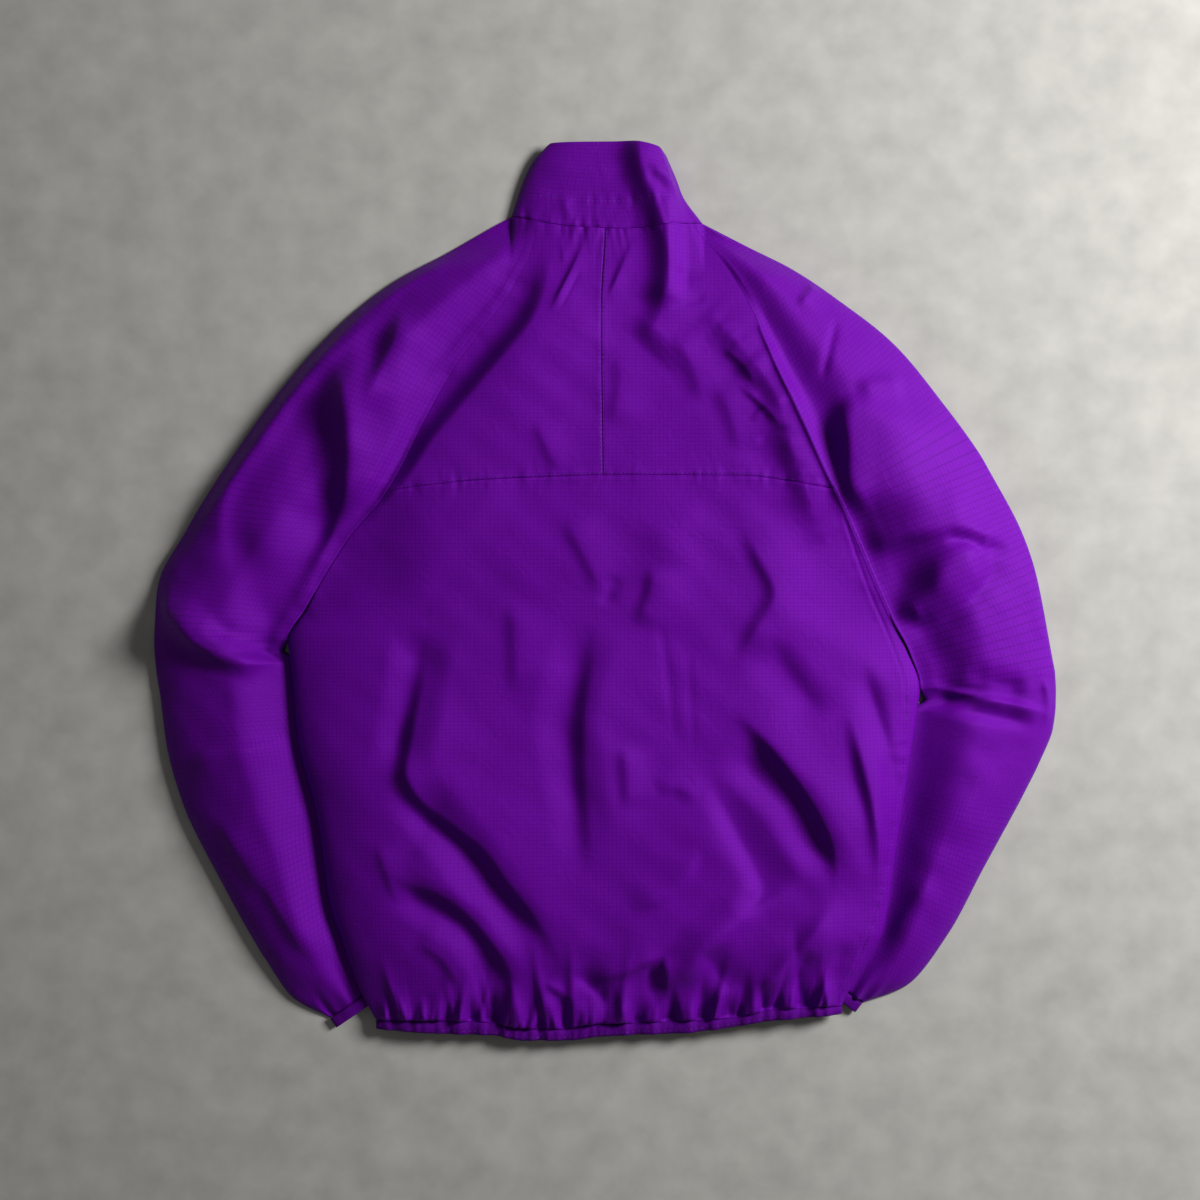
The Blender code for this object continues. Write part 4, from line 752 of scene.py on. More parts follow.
# %% Cloth, binding and thread materials
def cloth_material(name, dark, light, roughness, grid, thread_height, crumple_height, sheen=0.06):
    made = bpy.data.materials.new(name)
    made.use_nodes = True
    tree = made.node_tree
    shader = tree.nodes["Principled BSDF"]
    place = tree.nodes.new("ShaderNodeUVMap")
    place.uv_map = "weave"
    group = tree.nodes.new("ShaderNodeGroup")
    group.node_tree = weave
    group.inputs["Grid"].default_value = grid
    group.inputs["Thread height"].default_value = thread_height
    group.inputs["Crumple height"].default_value = crumple_height
    tint = tree.nodes.new("ShaderNodeMix")
    tint.data_type = "RGBA"
    tint.inputs["A"].default_value = (*dark, 1.0)
    tint.inputs["B"].default_value = (*light, 1.0)
    # The grid's thicker threads are tinted darker: painted shade, standing in for the shade that their relief
    # would give.
    share = math_node(tree, "MULTIPLY_ADD", group.outputs["Thread mask"], -0.9,
                      math_node(tree, "MULTIPLY_ADD", group.outputs["Uneven"], 0.4, 0.6))
    rough = math_node(tree, "MULTIPLY_ADD", group.outputs["Uneven"], 0.10, roughness - 0.05)
    bump = tree.nodes.new("ShaderNodeBump")
    bump.inputs["Distance"].default_value = 1.0
    bump.inputs["Strength"].default_value = 1.0
    wire(tree, (place.outputs["UV"], group.inputs["Place"]), (share, tint.inputs["Factor"]),
         (tint.outputs["Result"], shader.inputs["Base Color"]), (rough, shader.inputs["Roughness"]),
         (group.outputs["Height"], bump.inputs["Height"]), (bump.outputs["Normal"], shader.inputs["Normal"]))
    shader.inputs["Sheen Weight"].default_value = sheen
    shader.inputs["Sheen Roughness"].default_value = 0.30
    shader.inputs["Sheen Tint"].default_value = (0.50, 0.05, 0.90, 1.0)
    shader.inputs["Specular IOR Level"].default_value = 0.30
    shader.inputs["Specular Tint"].default_value = (0.60, 0.12, 1.0, 1.0)
    return made


nylon = cloth_material("purple ripstop", (0.100, 0.0012, 0.250), (0.142, 0.0024, 0.345),
                       0.52, 0.0034, 0.00003, 0.0006)
band = cloth_material("elastic binding", (0.080, 0.0012, 0.200), (0.110, 0.0018, 0.260),
                      0.62, 0.0011, 0.00012, 0.0003)


def plain_material(name, colour, roughness, metallic=0.0, grain=900.0, bump_height=0.00005, coat=0.0):
    """A finish whose fine grain follows the object's own coordinates."""
    made = bpy.data.materials.new(name)
    made.use_nodes = True
    tree = made.node_tree
    shader = tree.nodes["Principled BSDF"]
    place = tree.nodes.new("ShaderNodeTexCoord")
    noise = tree.nodes.new("ShaderNodeTexNoise")
    noise.inputs["Scale"].default_value = grain
    noise.inputs["Detail"].default_value = 3.0
    tint = tree.nodes.new("ShaderNodeMix")
    tint.data_type = "RGBA"
    tint.inputs["A"].default_value = (*[c * 0.75 for c in colour], 1.0)
    tint.inputs["B"].default_value = (*[min(c * 1.25, 1.0) for c in colour], 1.0)
    rough = math_node(tree, "MULTIPLY_ADD", noise.outputs["Fac"], 0.2, roughness - 0.1)
    bump = tree.nodes.new("ShaderNodeBump")
    bump.inputs["Distance"].default_value = bump_height
    wire(tree, (place.outputs["Object"], noise.inputs["Vector"]),
         (noise.outputs["Fac"], tint.inputs["Factor"]),
         (tint.outputs["Result"], shader.inputs["Base Color"]), (rough, shader.inputs["Roughness"]),
         (noise.outputs["Fac"], bump.inputs["Height"]), (bump.outputs["Normal"], shader.inputs["Normal"]))
    shader.inputs["Metallic"].default_value = metallic
    shader.inputs["Coat Weight"].default_value = coat
    return made


thread = plain_material("stitching thread", (0.120, 0.006, 0.300), 0.45, grain=2500.0)
tape = plain_material("zip tape", (0.060, 0.003, 0.160), 0.75, grain=1600.0, bump_height=0.0002)
coil = plain_material("zip coil", (0.070, 0.004, 0.180), 0.32, grain=300.0, coat=0.3)
painted_metal = plain_material("painted metal", (0.050, 0.035, 0.075), 0.34,
                               metallic=0.85, grain=700.0, coat=0.4)
print("materials:", [m.name for m in bpy.data.materials])

# %% [markdown]
# ## The back
# The yoke is two halves joined down the centre back. The lower back is one piece, from the yoke seam to the
# hem and round to the side seams.


# %% The yoke
def yoke_place(side):
    sign = SIGN[side]

    def place(across, down):
        share = across if side == "left" else 1 - across
        x, y = back_plan(side, YOKE_ROWS * down, share, (NECK_SEAM, YOKE_SEAM), (0, YOKE_ROWS))
        z = back_height(side, YOKE_ROWS * down, x, y)
        ends = np.where(down == 0, -GAP / 2, 0.0) + np.where(down == 1, GAP / 2, 0.0)
        sides = sign * (np.where(share == 0, -0.6 * GAP, 0.0) + np.where(share == 1, GAP / 2, 0.0))
        return x + sides, y + ends, z, x, y

    return place


yokes = {}
for side in SIGN:
    yokes[side] = lay(f"yoke_{side}", places(92, 0.150), places(118, 0.235), yoke_place(side), nylon,
                      [f"back_yoke_{side}"])


# %% The lower back
def lower_place(across, down):
    row = mix(YOKE_ROWS, LAST_ROW, down)
    places_of = {}
    for side in SIGN:
        share = np.clip(2 * across if side == "left" else 2 - 2 * across, 0, 1)
        x, y = back_plan(side, row, share, (YOKE_SEAM, HEM_SEAM), (YOKE_ROWS, LAST_ROW))
        z = back_height(side, row, x, y)
        x = x - SIGN[side] * np.where(share == 0, 0.6 * GAP * (1 - upright(row)), 0.0)
        places_of[side] = np.array([x, y, z])
    x, y, z = np.where(across <= 0.5, places_of["left"], places_of["right"])
    y = y + np.where(down == 0, -GAP / 2, 0.0) + np.where(down == 1, GAP / 2, 0.0)
    return x, y, z, x, y


def side_places(count):
    """Shares across the lower back, close together at both side seams, where the cloth turns down."""
    even = np.linspace(0, 1, count + 1)
    return even - 0.11 * np.sin(2 * math.pi * even) / (2 * math.pi) * 5.0 * 0.55


lower_back = lay("lower_back", side_places(206), places(186, 0.475), lower_place, nylon, ["back_lower"])


# %% [markdown]
# ## The sleeves
# Each raglan sleeve is one flattened tube: over the top from the back's seam to the outer fold, then back
# underneath. Below the underarm its upper part slips under the body's edge.

# %% Sections of a sleeve
def covered_share(side, seam, outer):
    """Share of a section that lies under the body, found by halving."""
    sign = SIGN[side]
    low, high = np.zeros(len(seam)), np.ones(len(seam))
    for _ in range(24):
        middle = (low + high) / 2
        place = mix(seam, outer, middle[:, None])
        inside = sign * place[:, 0] < sign * edge_x(side, place[:, 1])
        low, high = np.where(inside, middle, low), np.where(inside, high, middle)
    return low


def sections(side, rows):
    """Each section's seam, outer fold, heights and crown, for rows from 0 at the neck to 31 at the cuff."""
    sign = SIGN[side]
    table = SHOULDERS[side]
    y = station(side, np.minimum(rows, UNDERARM_ROW))
    top = column(EDGES[side], 0, 2, y)
    shoulder = {
        "seam": np.column_stack([edge_x(side, y) + sign * 0.6 * GAP, y]),
        "fold": np.column_stack([column(table, 0, 1, y), column(table, 0, 2, y)]),
        "seam_top": top, "seam_under": column(EDGES[side], 0, 3, y),
        "covered": np.full(len(rows), 0.12), "covered_top": top + 0.001, "crown": column(table, 0, 3, y),
    }
    arms = ARMS[side]
    place = 1 + np.maximum(rows - UNDERARM_ROW - 1, 0) / 2
    order = np.arange(len(arms))

    def row_of(k):
        return curve(np.column_stack([order, arms[:, k]]), place)

    seam, outer = np.column_stack([row_of(0), row_of(1)]), np.column_stack([row_of(2), row_of(3)])
    lower = {
        "seam": seam, "fold": outer,
        "seam_top": np.full(len(rows), TUBE_EDGE), "seam_under": np.zeros(len(rows)),
        "covered": np.maximum(covered_share(side, seam, outer), 0.12),
        "covered_top": mix(COVERED_TOP, CUFF_TOP - 0.0005, ease(place - len(arms) + 2)), "crown": row_of(4),
    }
    share = np.clip(rows - UNDERARM_ROW, 0, 1)
    mixed = {key: mix(shoulder[key], lower[key], share[:, None] if shoulder[key].ndim == 2 else share)
             for key in shoulder}
    mixed["below"] = share
    return mixed


SLEEVE_LAST = 31
# Shares of the columns: first the part under the body, then up to the outer fold. The rest lies below.
COVERED_PART, OPEN_PART = 0.15, 0.72
SLEEVE_LENGTH = 0.72  # along the cloth


def sleeve_relief(side, x, y):
    total = large_fold(x, y, LARGE_FOLDS + SLEEVE_FOLDS)
    for points, width, height, lean, crisp in ARM_FOLDS:
        total += fold(x, y, points, width, height, lean, crisp)
    total += 0.0006 * undulation(x, y, 13, 0.100) + 0.00022 * undulation(x, y, 15, 0.035)
    return total


def cuff_gathers(side, along, x, y):
    """Gathers that run up from the cuff."""
    end = ARMS[side][-1]
    start, stop = end[:2], end[2:4]
    across = (stop - start) / np.hypot(*(stop - start))
    s = (x - start[0]) * across[0] + (y - start[1]) * across[1]
    up = np.abs((x - start[0]) * -across[1] + (y - start[1]) * across[0])
    ripple = wander(s + 0.02 + 0.1 * up, 51 if side == "left" else 57, 0.0060)
    depth = 0.022 * (1 + 0.6 * wander(s + 0.02, 61, 0.013))
    return 0.0026 * ripple * np.exp(-(up / depth) ** 1.5) * ease((along - 0.8) / 0.1)


def sleeve_place(side):
    def place(across, down):
        levels, back = np.unique(down, return_inverse=True)
        found = {key: values[back] for key, values in sections(side, levels * SLEEVE_LAST).items()}
        width = np.hypot(*(found["fold"] - found["seam"]).T)
        inner = np.clip(across / COVERED_PART, 0, 1)
        beyond = np.clip((across - COVERED_PART) / (OPEN_PART - COVERED_PART), 0, 1)
        beyond = np.sin(beyond * math.pi / 2)
        below = np.clip((across - OPEN_PART) / (1 - OPEN_PART), 0, 1)
        covered = found["covered"]
        rise = mix(ease(inner), np.sqrt(1 - (1 - inner) ** 4), found["below"])
        height_in = mix(found["seam_top"], found["covered_top"], rise)
        bulge = np.sqrt(np.maximum(1 - beyond ** 2, 0)) * ease(beyond / 0.45)
        height_out = mix(found["covered_top"], FOLD_HEIGHT, beyond ** 2) + found["crown"] * bulge
        share_up = np.where(across <= COVERED_PART, inner * covered, mix(covered, 1.0, beyond))
        share_low = (1 - below) * (1 - FOLD_INSET / width)
        upper = across <= OPEN_PART
        share = np.where(upper, share_up, share_low)
        spot = mix(found["seam"], found["fold"], share[:, None])
        x, y = spot.T
        height = np.where(across <= COVERED_PART, height_in, height_out)
        covered_fade = mix(1.0, ease((share - covered) / 0.10), found["below"])
        top_part = 1 - found["below"]
        fade = ease(share / 0.15) * ease((1 - share) / 0.12)
        height = height + sleeve_relief(side, x, y) * fade * covered_fade
        height = height + back_relief(x, y) * top_part * (1 - ease(share / 0.15))
        height = mix(neck_height(x), height, below_neck(x, y))
        height = height + fine_relief(x, y) * top_part * ease((1 - share) / 0.05)
        height = height + cuff_gathers(side, down, x, y) * ease((1 - share) / 0.05)
        under = found["seam_under"] * np.maximum(1 - share / 0.25, 0.0) + WALL
        waves = (1 + undulation(x, y, 19, 0.06)).clip(0)
        under = under + 0.0012 * waves * ease((1 - share) / 0.2) * ease(share / 0.2)
        height = np.maximum(height, under + 0.0012 * ease((1 - share) / 0.02))
        z = np.where(upper, height, under - WALL)
        y = y - np.where(down == 0, SEAM, 0.0)
        length = np.interp(down, (0, 1), (0, SLEEVE_LENGTH))
        weave_across = np.where(upper, share * width, (2 - share) * width)
        return x, y, z, weave_across, length

    return place


sleeves = {}
for side in SIGN:
    across = np.concatenate([np.linspace(0, COVERED_PART, 11), np.linspace(COVERED_PART, OPEN_PART, 65)[1:],
                             [mix(OPEN_PART, 1.0, 1e-4)], np.linspace(OPEN_PART, 1, 19)[1:]])
    sleeves[side] = lay(f"sleeve_cloth_{side}", across, places(SLEEVE_LAST * 10, SLEEVE_LENGTH, end=False),
                        sleeve_place(side), nylon, [f"sleeve_{side}"], turned=side == "left")


# %% [markdown]
# ## The fronts
# The two fronts lie on the surface underneath, with the zip between them. Only their underside can be seen,
# when the jacket is turned over, so they get shallow wrinkles and nothing more.

# %% The fronts' coarse places, as in the CAD
FRONT_COLUMNS = 8


def front_place_at(side, row, col):
    sign = SIGN[side]
    edge_y, neck_y, hem_y = (float(station(side, r)) for r in (row, 0, LAST_ROW))
    down = (neck_y - edge_y) / (neck_y - hem_y)
    start_x = float(edge_x(side, edge_y))
    reach = float(curve(REACHES[side], edge_y)) if row >= UNDERARM_ROW else REACHES[side][0][1]
    width = abs(start_x) - ZIP_GAP
    if col <= 2:
        away = reach * col / 2
    elif col == 3:
        away = reach + RAMP
    else:
        away = mix(reach + RAMP, width, (col - 3) / (FRONT_COLUMNS - 3))
    away = min(away, width * (0.10 + 0.90 * col / FRONT_COLUMNS)) if row < UNDERARM_ROW else away
    share = away / width
    x = start_x - sign * away
    zip_y = mix(COLLAR_FRONT_BASE, float(curve(HEM_SEAM, 0.0)), down)
    y = mix(zip_y, edge_y, (1 - share) ** mix(BOW, 1.0, min(row / 6, 1.0)))
    if row == LAST_ROW:
        y = float(curve(HEM_SEAM, x))
    lifted = float(column(EDGES[side], 0, 3, edge_y)) if col <= 2 else 0.0
    return x, y, max(lifted, float(zip_lift(x, y)))


def between(table, rows, cols):
    """Places between the rows and columns of a coarse table."""
    r, c = np.minimum(rows.astype(int), table.shape[0] - 2), np.minimum(cols.astype(int), table.shape[1] - 2)
    s, t = (rows - r)[:, None], (cols - c)[:, None]
    return mix(mix(table[r, c], table[r, c + 1], t), mix(table[r + 1, c], table[r + 1, c + 1], t), s)


def front_lay_place(side):
    table = np.array([[front_place_at(side, r, c) for c in range(FRONT_COLUMNS + 1)]
                      for r in range(LAST_ROW + 1)])

    def place(across, down):
        share = across if side == "left" else 1 - across
        x, y, z = between(table, down * LAST_ROW, share * FRONT_COLUMNS).T
        inside = ease(share / 0.1) * ease((1 - share) / 0.06) * ease(down / 0.05) * ease((1 - down) / 0.03)
        z = z + 0.0009 * (undulation(x, y, 27, 0.05) + undulation(x, y, 29, 0.02) * 0.4).clip(0) * inside
        x = x - np.where((share == 0) & (down < UNDERARM_ROW / LAST_ROW), SIGN[side] * 0.6 * SEAM, 0.0)
        y = np.where(down == 1, curve(HEM_SEAM, x), y - np.where(down == 0, SEAM / 2, 0.0))
        return x, y, z, x, y

    return place


fronts = {}
for side in SIGN:
    fronts[side] = lay(f"front_panel_{side}", np.linspace(0, 1, 57), np.linspace(0, 1, 145),
                       front_lay_place(side), nylon, [f"front_{side}"], turned=True)


# %% [markdown]
# ## The collar
# The collar is pressed flat: its back on top, folded down both sides, and its fronts underneath to the zip.

# %% The collar
def collar_side(side, up):
    return [curve([(row[0], row[k]) for row in COLLAR_SIDES[side]], up) for k in (1, 2)]


def off_line(side, up):
    low, high = collar_side(side, 0.0)[1], collar_side(side, 1.0)[1]
    return collar_side(side, up)[1] - mix(low, high, up)


COLLAR_FOLDS = (
    (((0.036, 0.368), (0.050, 0.361), (0.070, 0.342)), 0.0050, 0.0034, -0.3, 0.6),
    (((0.034, 0.362), (0.048, 0.352), (0.060, 0.338)), 0.0060, -0.0026, 0.0, 0.4),
    (((-0.060, 0.372), (-0.040, 0.366), (-0.010, 0.364), (0.020, 0.366)), 0.007, 0.0010, 0.0, 0.3),
    (((-0.062, 0.350), (-0.030, 0.346), (0.010, 0.345)), 0.006, -0.0008, 0.0, 0.3),
    (((-0.035, 0.344), (-0.033, 0.330), (-0.030, 0.320)), 0.004, 0.0012, 0.0, 0.5),
)
COLLAR_STITCH = ((-0.0660, 0.3440), (-0.0420, 0.3418), (-0.0130, 0.3384), (0.0200, 0.3388), (0.0460, 0.3410),
                 (0.0680, 0.3436))


def collar_back(share, up):
    (lx, ly), (rx, ry) = collar_side("left", up), collar_side("right", up)
    x = mix(lx, rx, share)
    base_y = curve(NECK_SEAM, mix(NECK_SEAM[0][0], NECK_SEAM[-1][0], share))
    crest_y = curve(COLLAR_CREST, mix(COLLAR_CREST[0][0], COLLAR_CREST[-1][0], share))
    y = mix(base_y, crest_y, up) + mix(off_line("left", up), off_line("right", up), share)
    rounding = np.sqrt(np.maximum(1 - np.abs(2 * share - 1) ** 4, 0.0))
    z = mix(FOLD_HEIGHT, mix(NECK_TOP, COLLAR_TOP, np.sin(math.pi * up)), rounding)
    inside = ease(share / 0.06) * ease((1 - share) / 0.06)
    z = z + neck_valley(x, y) * inside
    for points, width, height, lean, crisp in COLLAR_FOLDS:
        z = z + fold(x, y, points, width, height, lean, crisp) * inside
    z = z + inside * (puckers(x, y, NECK_SEAM, 0.0009, 0.0075, 0.0055, 71) - 0.0004 * np.exp(-(up / 0.012) ** 2)
                      + puckers(x, y, COLLAR_STITCH, 0.0005, 0.0050, 0.0050, 73)
                      + seam_groove(x, y, COLLAR_STITCH, 0.0002, 0.0010, 0.0))
    return x, y, z


COLLAR_ROUND, COLLAR_DEPTH = 0.42, 0.07  # size of the cloth on its UV map


def collar_place(across, down):
    """across runs from the zip, round the left fold, over the back, round the right fold and to the zip."""
    up = 1 - down
    front = FRONT_COLUMNS + 1
    total = np.zeros((3, len(across)))
    on_back = (across >= 0.25) & (across <= 0.75)
    share = np.clip((across - 0.25) / 0.5, 0, 1)
    share = (1 - np.cos(math.pi * share)) / 2
    total[:, on_back] = np.array(collar_back(share, up))[:, on_back]
    for side in SIGN:
        chosen = across < 0.25 if side == "left" else across > 0.75
        step = (across if side == "left" else 1 - across)[chosen] / 0.25 * front
        height = up[chosen]
        fx, fy = collar_side(side, height)
        bx, by = (float(v) for v in collar_side(side, 0.0))
        base = [front_place_at(side, 0, FRONT_COLUMNS - k) for k in range(front)] + [(bx, by, 0.0)]
        base_x = np.interp(step, np.arange(front + 1), [abs(b[0]) for b in base])
        base_y = np.interp(step, np.arange(front + 1), [b[1] for b in base])
        part = np.maximum(base_x - ZIP_GAP, 0.0) / (abs(bx) - ZIP_GAP)
        inset = FOLD_INSET * ease((step - front + 1) / 1.0)
        x = SIGN[side] * (mix(ZIP_GAP, np.abs(fx), part) - inset)
        crest_y = mix(COLLAR_FRONT_TOP, float(collar_side(side, 1.0)[1]), part ** BOW)
        y = mix(base_y, crest_y, height) + off_line(side, height) * part ** BOW
        total[:, chosen] = x, y, zip_lift(x, y)
    x, y, z = total
    y = y + np.where(down == 1, SEAM * (0.5 + ~on_back), 0.0)
    return x, y, z, across * COLLAR_ROUND, down * COLLAR_DEPTH


collar_columns = np.concatenate([np.linspace(0, 0.25, 41)[:-1], np.linspace(0.25, 0.75, 121),
                                 np.linspace(0.75, 1, 41)[1:]])
collar = lay("collar_cloth", collar_columns, places(38, COLLAR_DEPTH), collar_place, nylon, ["collar"])


# %% [markdown]
# ## The elastic bindings
# A narrow elastic binding gathers the hem and each cuff. The hem's runs over the back from side to side and
# back under it to the zip.

# %% The hem binding
hem_fronts = {side: np.array([front_place_at(side, LAST_ROW, c) for c in range(FRONT_COLUMNS + 1)])
              for side in SIGN}


def hem_back_row(across):
    """The back's bottom row, as shares from one side to the other."""
    x, y, z, _, _ = lower_place(across, np.ones(len(across)))
    return x, z


HEM_ROUND, HEM_DEPTH = 0.84, 0.01  # size of the binding on its UV map


def hem_place(across, down):
    total = np.zeros((2, len(across)))
    on_back = (across >= 0.25) & (across <= 0.75)
    total[:, on_back] = np.array(hem_back_row((across[on_back] - 0.25) / 0.5))
    for side in SIGN:
        chosen = across < 0.25 if side == "left" else across > 0.75
        step = (across if side == "left" else 1 - across)[chosen] / 0.25 * FRONT_COLUMNS
        for k, part in ((0, 0), (1, 2)):
            total[k, chosen] = np.interp(step, np.arange(FRONT_COLUMNS + 1), hem_fronts[side][::-1, part])
    x, z = total
    top, bottom = curve(HEM_SEAM, x) - SEAM / 2, curve(HEM_EDGE, x)
    y = mix(top, bottom, down)
    crown = np.sin(math.pi * down) * 0.0012
    ripple = wander(across * 0.9 + 0.01, 83, 0.0055) * 0.0011 * (1 - 0.5 * down)
    z = z + np.where(on_back, crown + ripple, np.maximum(crown * 0.4, 0))
    return x, y, z, across * HEM_ROUND, down * HEM_DEPTH


hem_columns = np.concatenate([np.linspace(0, 0.25, 61)[:-1], np.linspace(0.25, 0.75, 241),
                              np.linspace(0.75, 1, 61)[1:]])
hem = lay("hem_band", hem_columns, np.linspace(0, 1, 9), hem_place, band, ["hem_binding"],
          wall=BAND_WALL)


# %% The cuff bindings
def cuff_place(side):
    end = ARMS[side][-1]
    seam, outer = end[:2], end[2:4]
    width = np.hypot(*(outer - seam))
    way = (outer - seam) / width
    out = np.array([way[1], -way[0]]) * (1 if side == "right" else -1)

    def place(across, down):
        upper = across <= 0.5
        turn = math.pi * np.where(upper, 2 * across, 2 - 2 * across)
        share = (1 - np.cos(turn)) / 2
        rounding = np.sqrt(np.maximum(1 - np.abs(2 * share - 1) ** 5, 0.0))
        z = mix(CUFF_TOP / 2, np.where(upper, CUFF_TOP, 0.0), rounding)
        ripple = wander(share * width + 0.01, 91, 0.0048) * 0.0006 + 0.0007 * np.sin(math.pi * down)
        z = z + np.where(upper, ripple * rounding, 0.0)
        spot = seam[:, None] + way[:, None] * width * share + out[:, None] * (SEAM + CUFF_DEPTH * down)
        return spot[0], spot[1], z, across * 2 * width, down * CUFF_DEPTH

    return place


cuffs = {}
for side in SIGN:
    cuffs[side] = lay(f"cuff_band_{side}", np.linspace(0, 1, 81), np.linspace(0, 1, 8), cuff_place(side), band,
                      [f"cuff_{side}"], wall=BAND_WALL, turned=side == "left")

# %% [markdown]
# ## The zip
# The zip lies underneath, against the surface. Each half is a woven tape with a coil along its inner edge,
# and the two coils mesh under the slider. The coil's turns are small, so each is one short bead of few faces.

# %% Zip tapes
ZIP_TOP = COLLAR_FRONT_TOP
ZIP_BOTTOM = float(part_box("zip_left")[0][1])
TAPE_WALL = 0.0006
COIL_STEP = 0.0016
COIL_RADIUS = 0.00055


def tape_place(side):
    sign = SIGN[side]

    def place(across, down):
        x = sign * mix(COIL_RADIUS, ZIP_HALF, across if side == "right" else 1 - across)
        y = mix(ZIP_TOP, ZIP_BOTTOM, down)
        return x, y, zip_lift(x, y) + 0.0003, x, y

    return place


for side in SIGN:
    lay(f"zip_tape_{side}", np.linspace(0, 1, 9), np.linspace(0, 1, 181), tape_place(side), tape,
                      [f"zip_{side}"], wall=TAPE_WALL, turned=True)

# %% Many copies of one small shape
def copies(name, shape, matrices, finish):
    """One piece from a copy of shape at each matrix."""
    bm = bmesh.new()
    for matrix in matrices:
        copy = shape.copy()
        copy.transform(matrix)
        bm.from_mesh(copy)
        bpy.data.meshes.remove(copy)
    mesh = bpy.data.meshes.new(name)
    bm.to_mesh(mesh)
    bm.free()
    mesh.polygons.foreach_set("use_smooth", np.ones(len(mesh.polygons), dtype=bool))
    mesh.materials.append(finish)
    piece = bpy.data.objects.new(name, mesh)
    bpy.context.scene.collection.objects.link(piece)
    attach(piece, "jacket")
    print(f"{name}: {len(matrices)} copies, {len(mesh.polygons)} faces")
    return piece


def bead(name, around, along):
    """A small ball of few faces, to be stretched into a stitch or a coil's turn."""
    bm = bmesh.new()
    bmesh.ops.create_uvsphere(bm, u_segments=around, v_segments=along, radius=1.0)
    mesh = bpy.data.meshes.new(name)
    bm.to_mesh(mesh)
    bm.free()
    return mesh


# %% Coils
coil_turn = bead("coil_turn", 8, 5)
for side in SIGN:
    turns = []
    for k in range(int((ZIP_TOP - ZIP_BOTTOM - 0.008) / COIL_STEP)):
        y = ZIP_TOP - 0.004 - COIL_STEP * (k + (0.5 if side == "right" else 0.0))
        x = SIGN[side] * 1.3 * COIL_RADIUS
        z = float(zip_lift(np.array([x]), np.array([y]))[0]) + 0.0003 + COIL_RADIUS
        size = Vector((2.2, 0.95, 0.8)) * COIL_RADIUS
        turns.append(Matrix.Translation((x, y, z)) @ Matrix.Diagonal((*size, 1.0)))
    copies(f"zip_coil_{side}", coil_turn, turns, coil)

# %% The slider and its tab keep their CAD shapes and get a painted finish
for node in ("zip_slider", "pull_tab"):
    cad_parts[node].data.materials.clear()
    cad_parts[node].data.materials.append(painted_metal)
print("painted:", painted_metal.name)

# %% [markdown]
# ## Stitches
# Real stitches stand a little proud of the cloth. Each one is a short capsule of a few dozen faces, laid on
# the cloth by a ray from above, with the gap to the next stitch about half its own length.

# %% Stitches laid on the cloth
def surface_of(pieces):
    """The upper surface of several pieces as one tree to cast rays at."""
    depsgraph = bpy.context.evaluated_depsgraph_get()
    verts, faces = [], []
    for piece in pieces:
        mesh = piece.evaluated_get(depsgraph).to_mesh()
        start = len(verts)
        verts += [v.co.copy() for v in mesh.vertices]
        faces += [[start + i for i in face.vertices] for face in mesh.polygons]
    return BVHTree.FromPolygons(verts, faces)


cloth_tops = surface_of([lower_back, collar, hem, *yokes.values(), *sleeves.values(), *cuffs.values()])


stitch_shape = bead("stitch", 6, 5)


def stitches(name, line, length=0.0026, gap=0.0012, radius=0.00022, offset=0.0):
    """A row of stitches along a line of x, y places, moved sideways by offset."""
    line = rounded(line, 6)
    steps = np.hypot(*np.diff(line, axis=0).T)
    lengths = np.concatenate([[0.0], np.cumsum(steps)])

    def spot(s):
        return Vector((np.interp(s, lengths, line[:, 0]), np.interp(s, lengths, line[:, 1]), 0.0))

    rows = []
    for start in np.arange(0.001, lengths[-1] - length - 0.001, length + gap):
        ends = []
        for s in (start, start + length):
            way = spot(s + 0.001) - spot(s - 0.001)
            above = spot(s) + Vector((-way.y, way.x, 0.0)).normalized() * offset + Vector((0.0, 0.0, 0.2))
            ends.append(cloth_tops.ray_cast(above, Vector((0, 0, -1)))[0])
        if ends[0] is None or ends[1] is None or (ends[1] - ends[0]).length > 2 * length:
            continue
        span = ends[1] - ends[0]
        rows.append(Matrix.Translation((ends[0] + ends[1]) / 2 + Vector((0, 0, 0.4 * radius)))
                    @ span.to_track_quat("X", "Z").to_matrix().to_4x4()
                    @ Matrix.Diagonal((span.length / 2, radius, radius, 1.0)))
    return copies(name, stitch_shape, rows, thread)


# %% The rows of stitches
stitches("stitches_yoke", YOKE_SEAM[1:-1], offset=0.0016)
stitches("stitches_centre_left", CENTRE_SEAM, offset=-0.0014)
stitches("stitches_centre_right", CENTRE_SEAM, offset=0.0014)
stitches("stitches_collar", COLLAR_STITCH)
stitches("stitches_raglan_right", RAGLAN_RIDGE, offset=0.0016)
stitches("stitches_side_right", SIDE_SEAM[3:-1], offset=0.0016)
stitches("stitches_hem", np.array(HEM_EDGE[1:-1]) + (0.0, 0.0030), 0.0030, 0.0016)
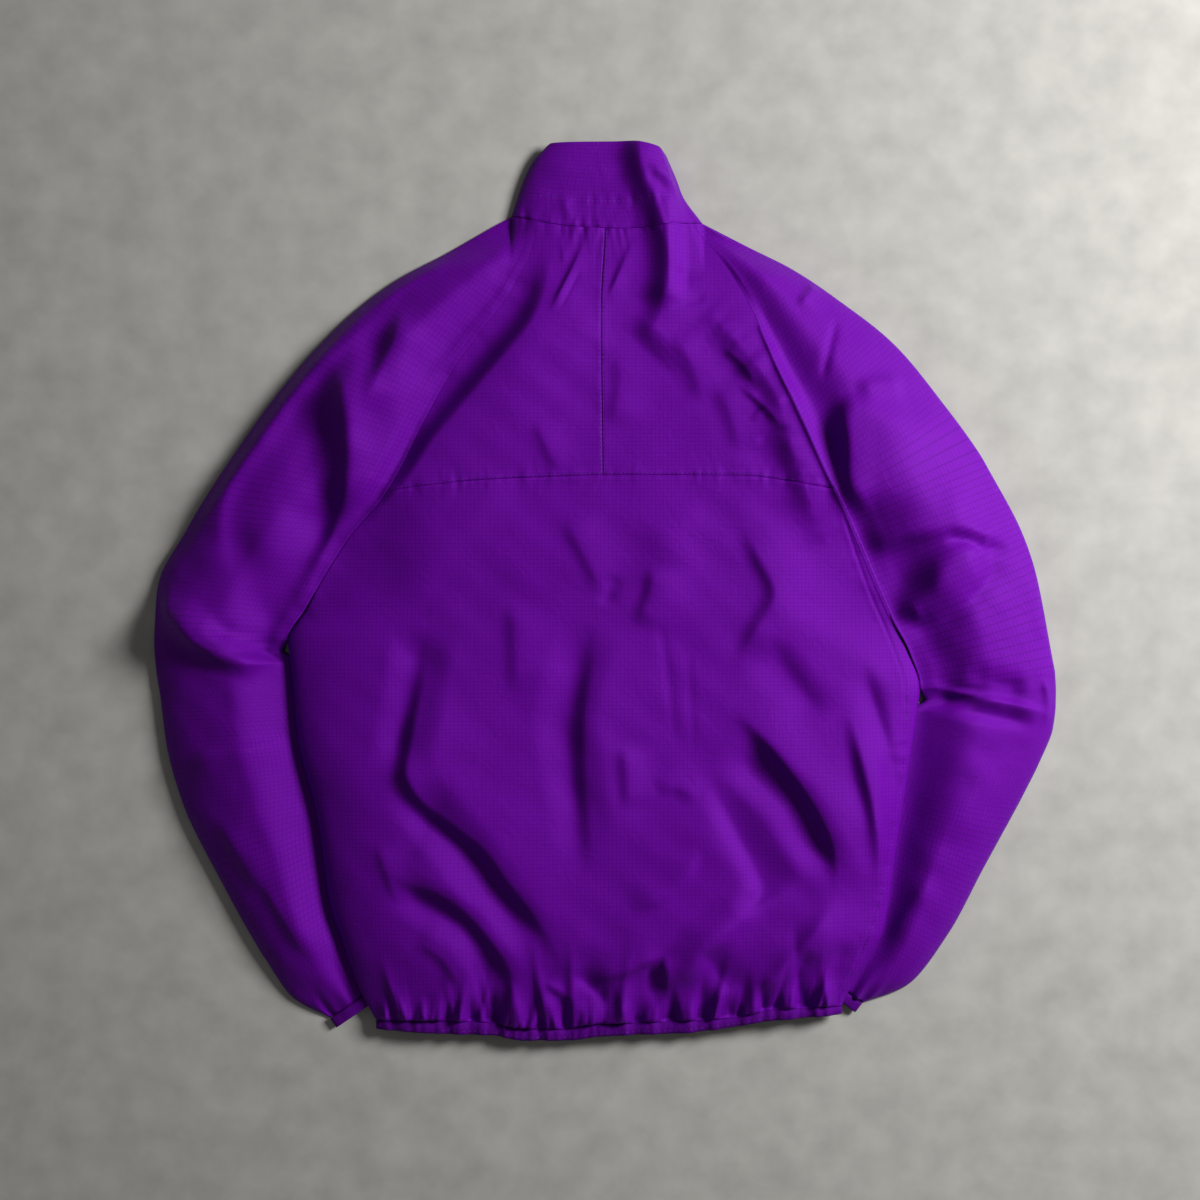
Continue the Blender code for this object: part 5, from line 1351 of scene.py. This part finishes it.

# %% [markdown]
# ## The cloth pieces
# The pieces of cloth are gathered in two lists: those under the back, and all of them.

# %% Sheets
under_back = [*fronts.values(), *sleeves.values()]
cloth_pieces = [*under_back, *yokes.values(), *cuffs.values(), lower_back, collar, hem]
print("sheets:", len(cloth_pieces))

# %% [markdown]
# ## Floor, light and camera
# The jacket lies on a plain pale floor. One large soft light hangs to the upper right, the room gives the
# rest, and the camera looks straight down.

# %% Floor
bm = bmesh.new()
bmesh.ops.create_grid(bm, x_segments=1, y_segments=1, size=6.0)
floor_mesh = bpy.data.meshes.new("floor")
bm.to_mesh(floor_mesh)
bm.free()
floor = bpy.data.objects.new("floor", floor_mesh)
bpy.context.scene.collection.objects.link(floor)
floor.location.z = -0.0002
floor_mesh.materials.append(plain_material("pale floor", (0.46, 0.45, 0.42), 0.85, grain=30.0))

# %% Light and camera
world = bpy.data.worlds.new("room")
bpy.context.scene.world = world
world.use_nodes = True
world.node_tree.nodes["Background"].inputs["Color"].default_value = (1.0, 1.0, 1.0, 1.0)
world.node_tree.nodes["Background"].inputs["Strength"].default_value = 0.10


def softbox(name, place, target, size, power):
    data = bpy.data.lights.new(name, "AREA")
    data.shape = "RECTANGLE"
    data.size = size[0]
    data.size_y = size[1]
    data.energy = power
    lamp = bpy.data.objects.new(name, data)
    bpy.context.scene.collection.objects.link(lamp)
    lamp.location = place
    lamp.rotation_euler = (Vector(target) - Vector(place)).to_track_quat("-Z", "Y").to_euler()
    return lamp


WINDOW_PLACE = (1.45, 0.60, 1.05)
WINDOW_SIZE = (0.6, 0.6)
WINDOW_POWER = 46.0  # watts
softbox("window", WINDOW_PLACE, (0.0, 0.0, 0.0), WINDOW_SIZE, WINDOW_POWER)

VIEW_WIDTH = 1.044
CAMERA_HEIGHT = 1.75
camera_data = bpy.data.cameras.new("overhead")
camera_data.sensor_width = 36.0
camera_data.lens = 36.0 * CAMERA_HEIGHT / VIEW_WIDTH
camera = bpy.data.objects.new("overhead", camera_data)
camera.location = (-0.004, -0.008, CAMERA_HEIGHT + 0.010)
bpy.context.scene.collection.objects.link(camera)
bpy.context.scene.camera = camera
bpy.context.scene.view_settings.view_transform = "Standard"
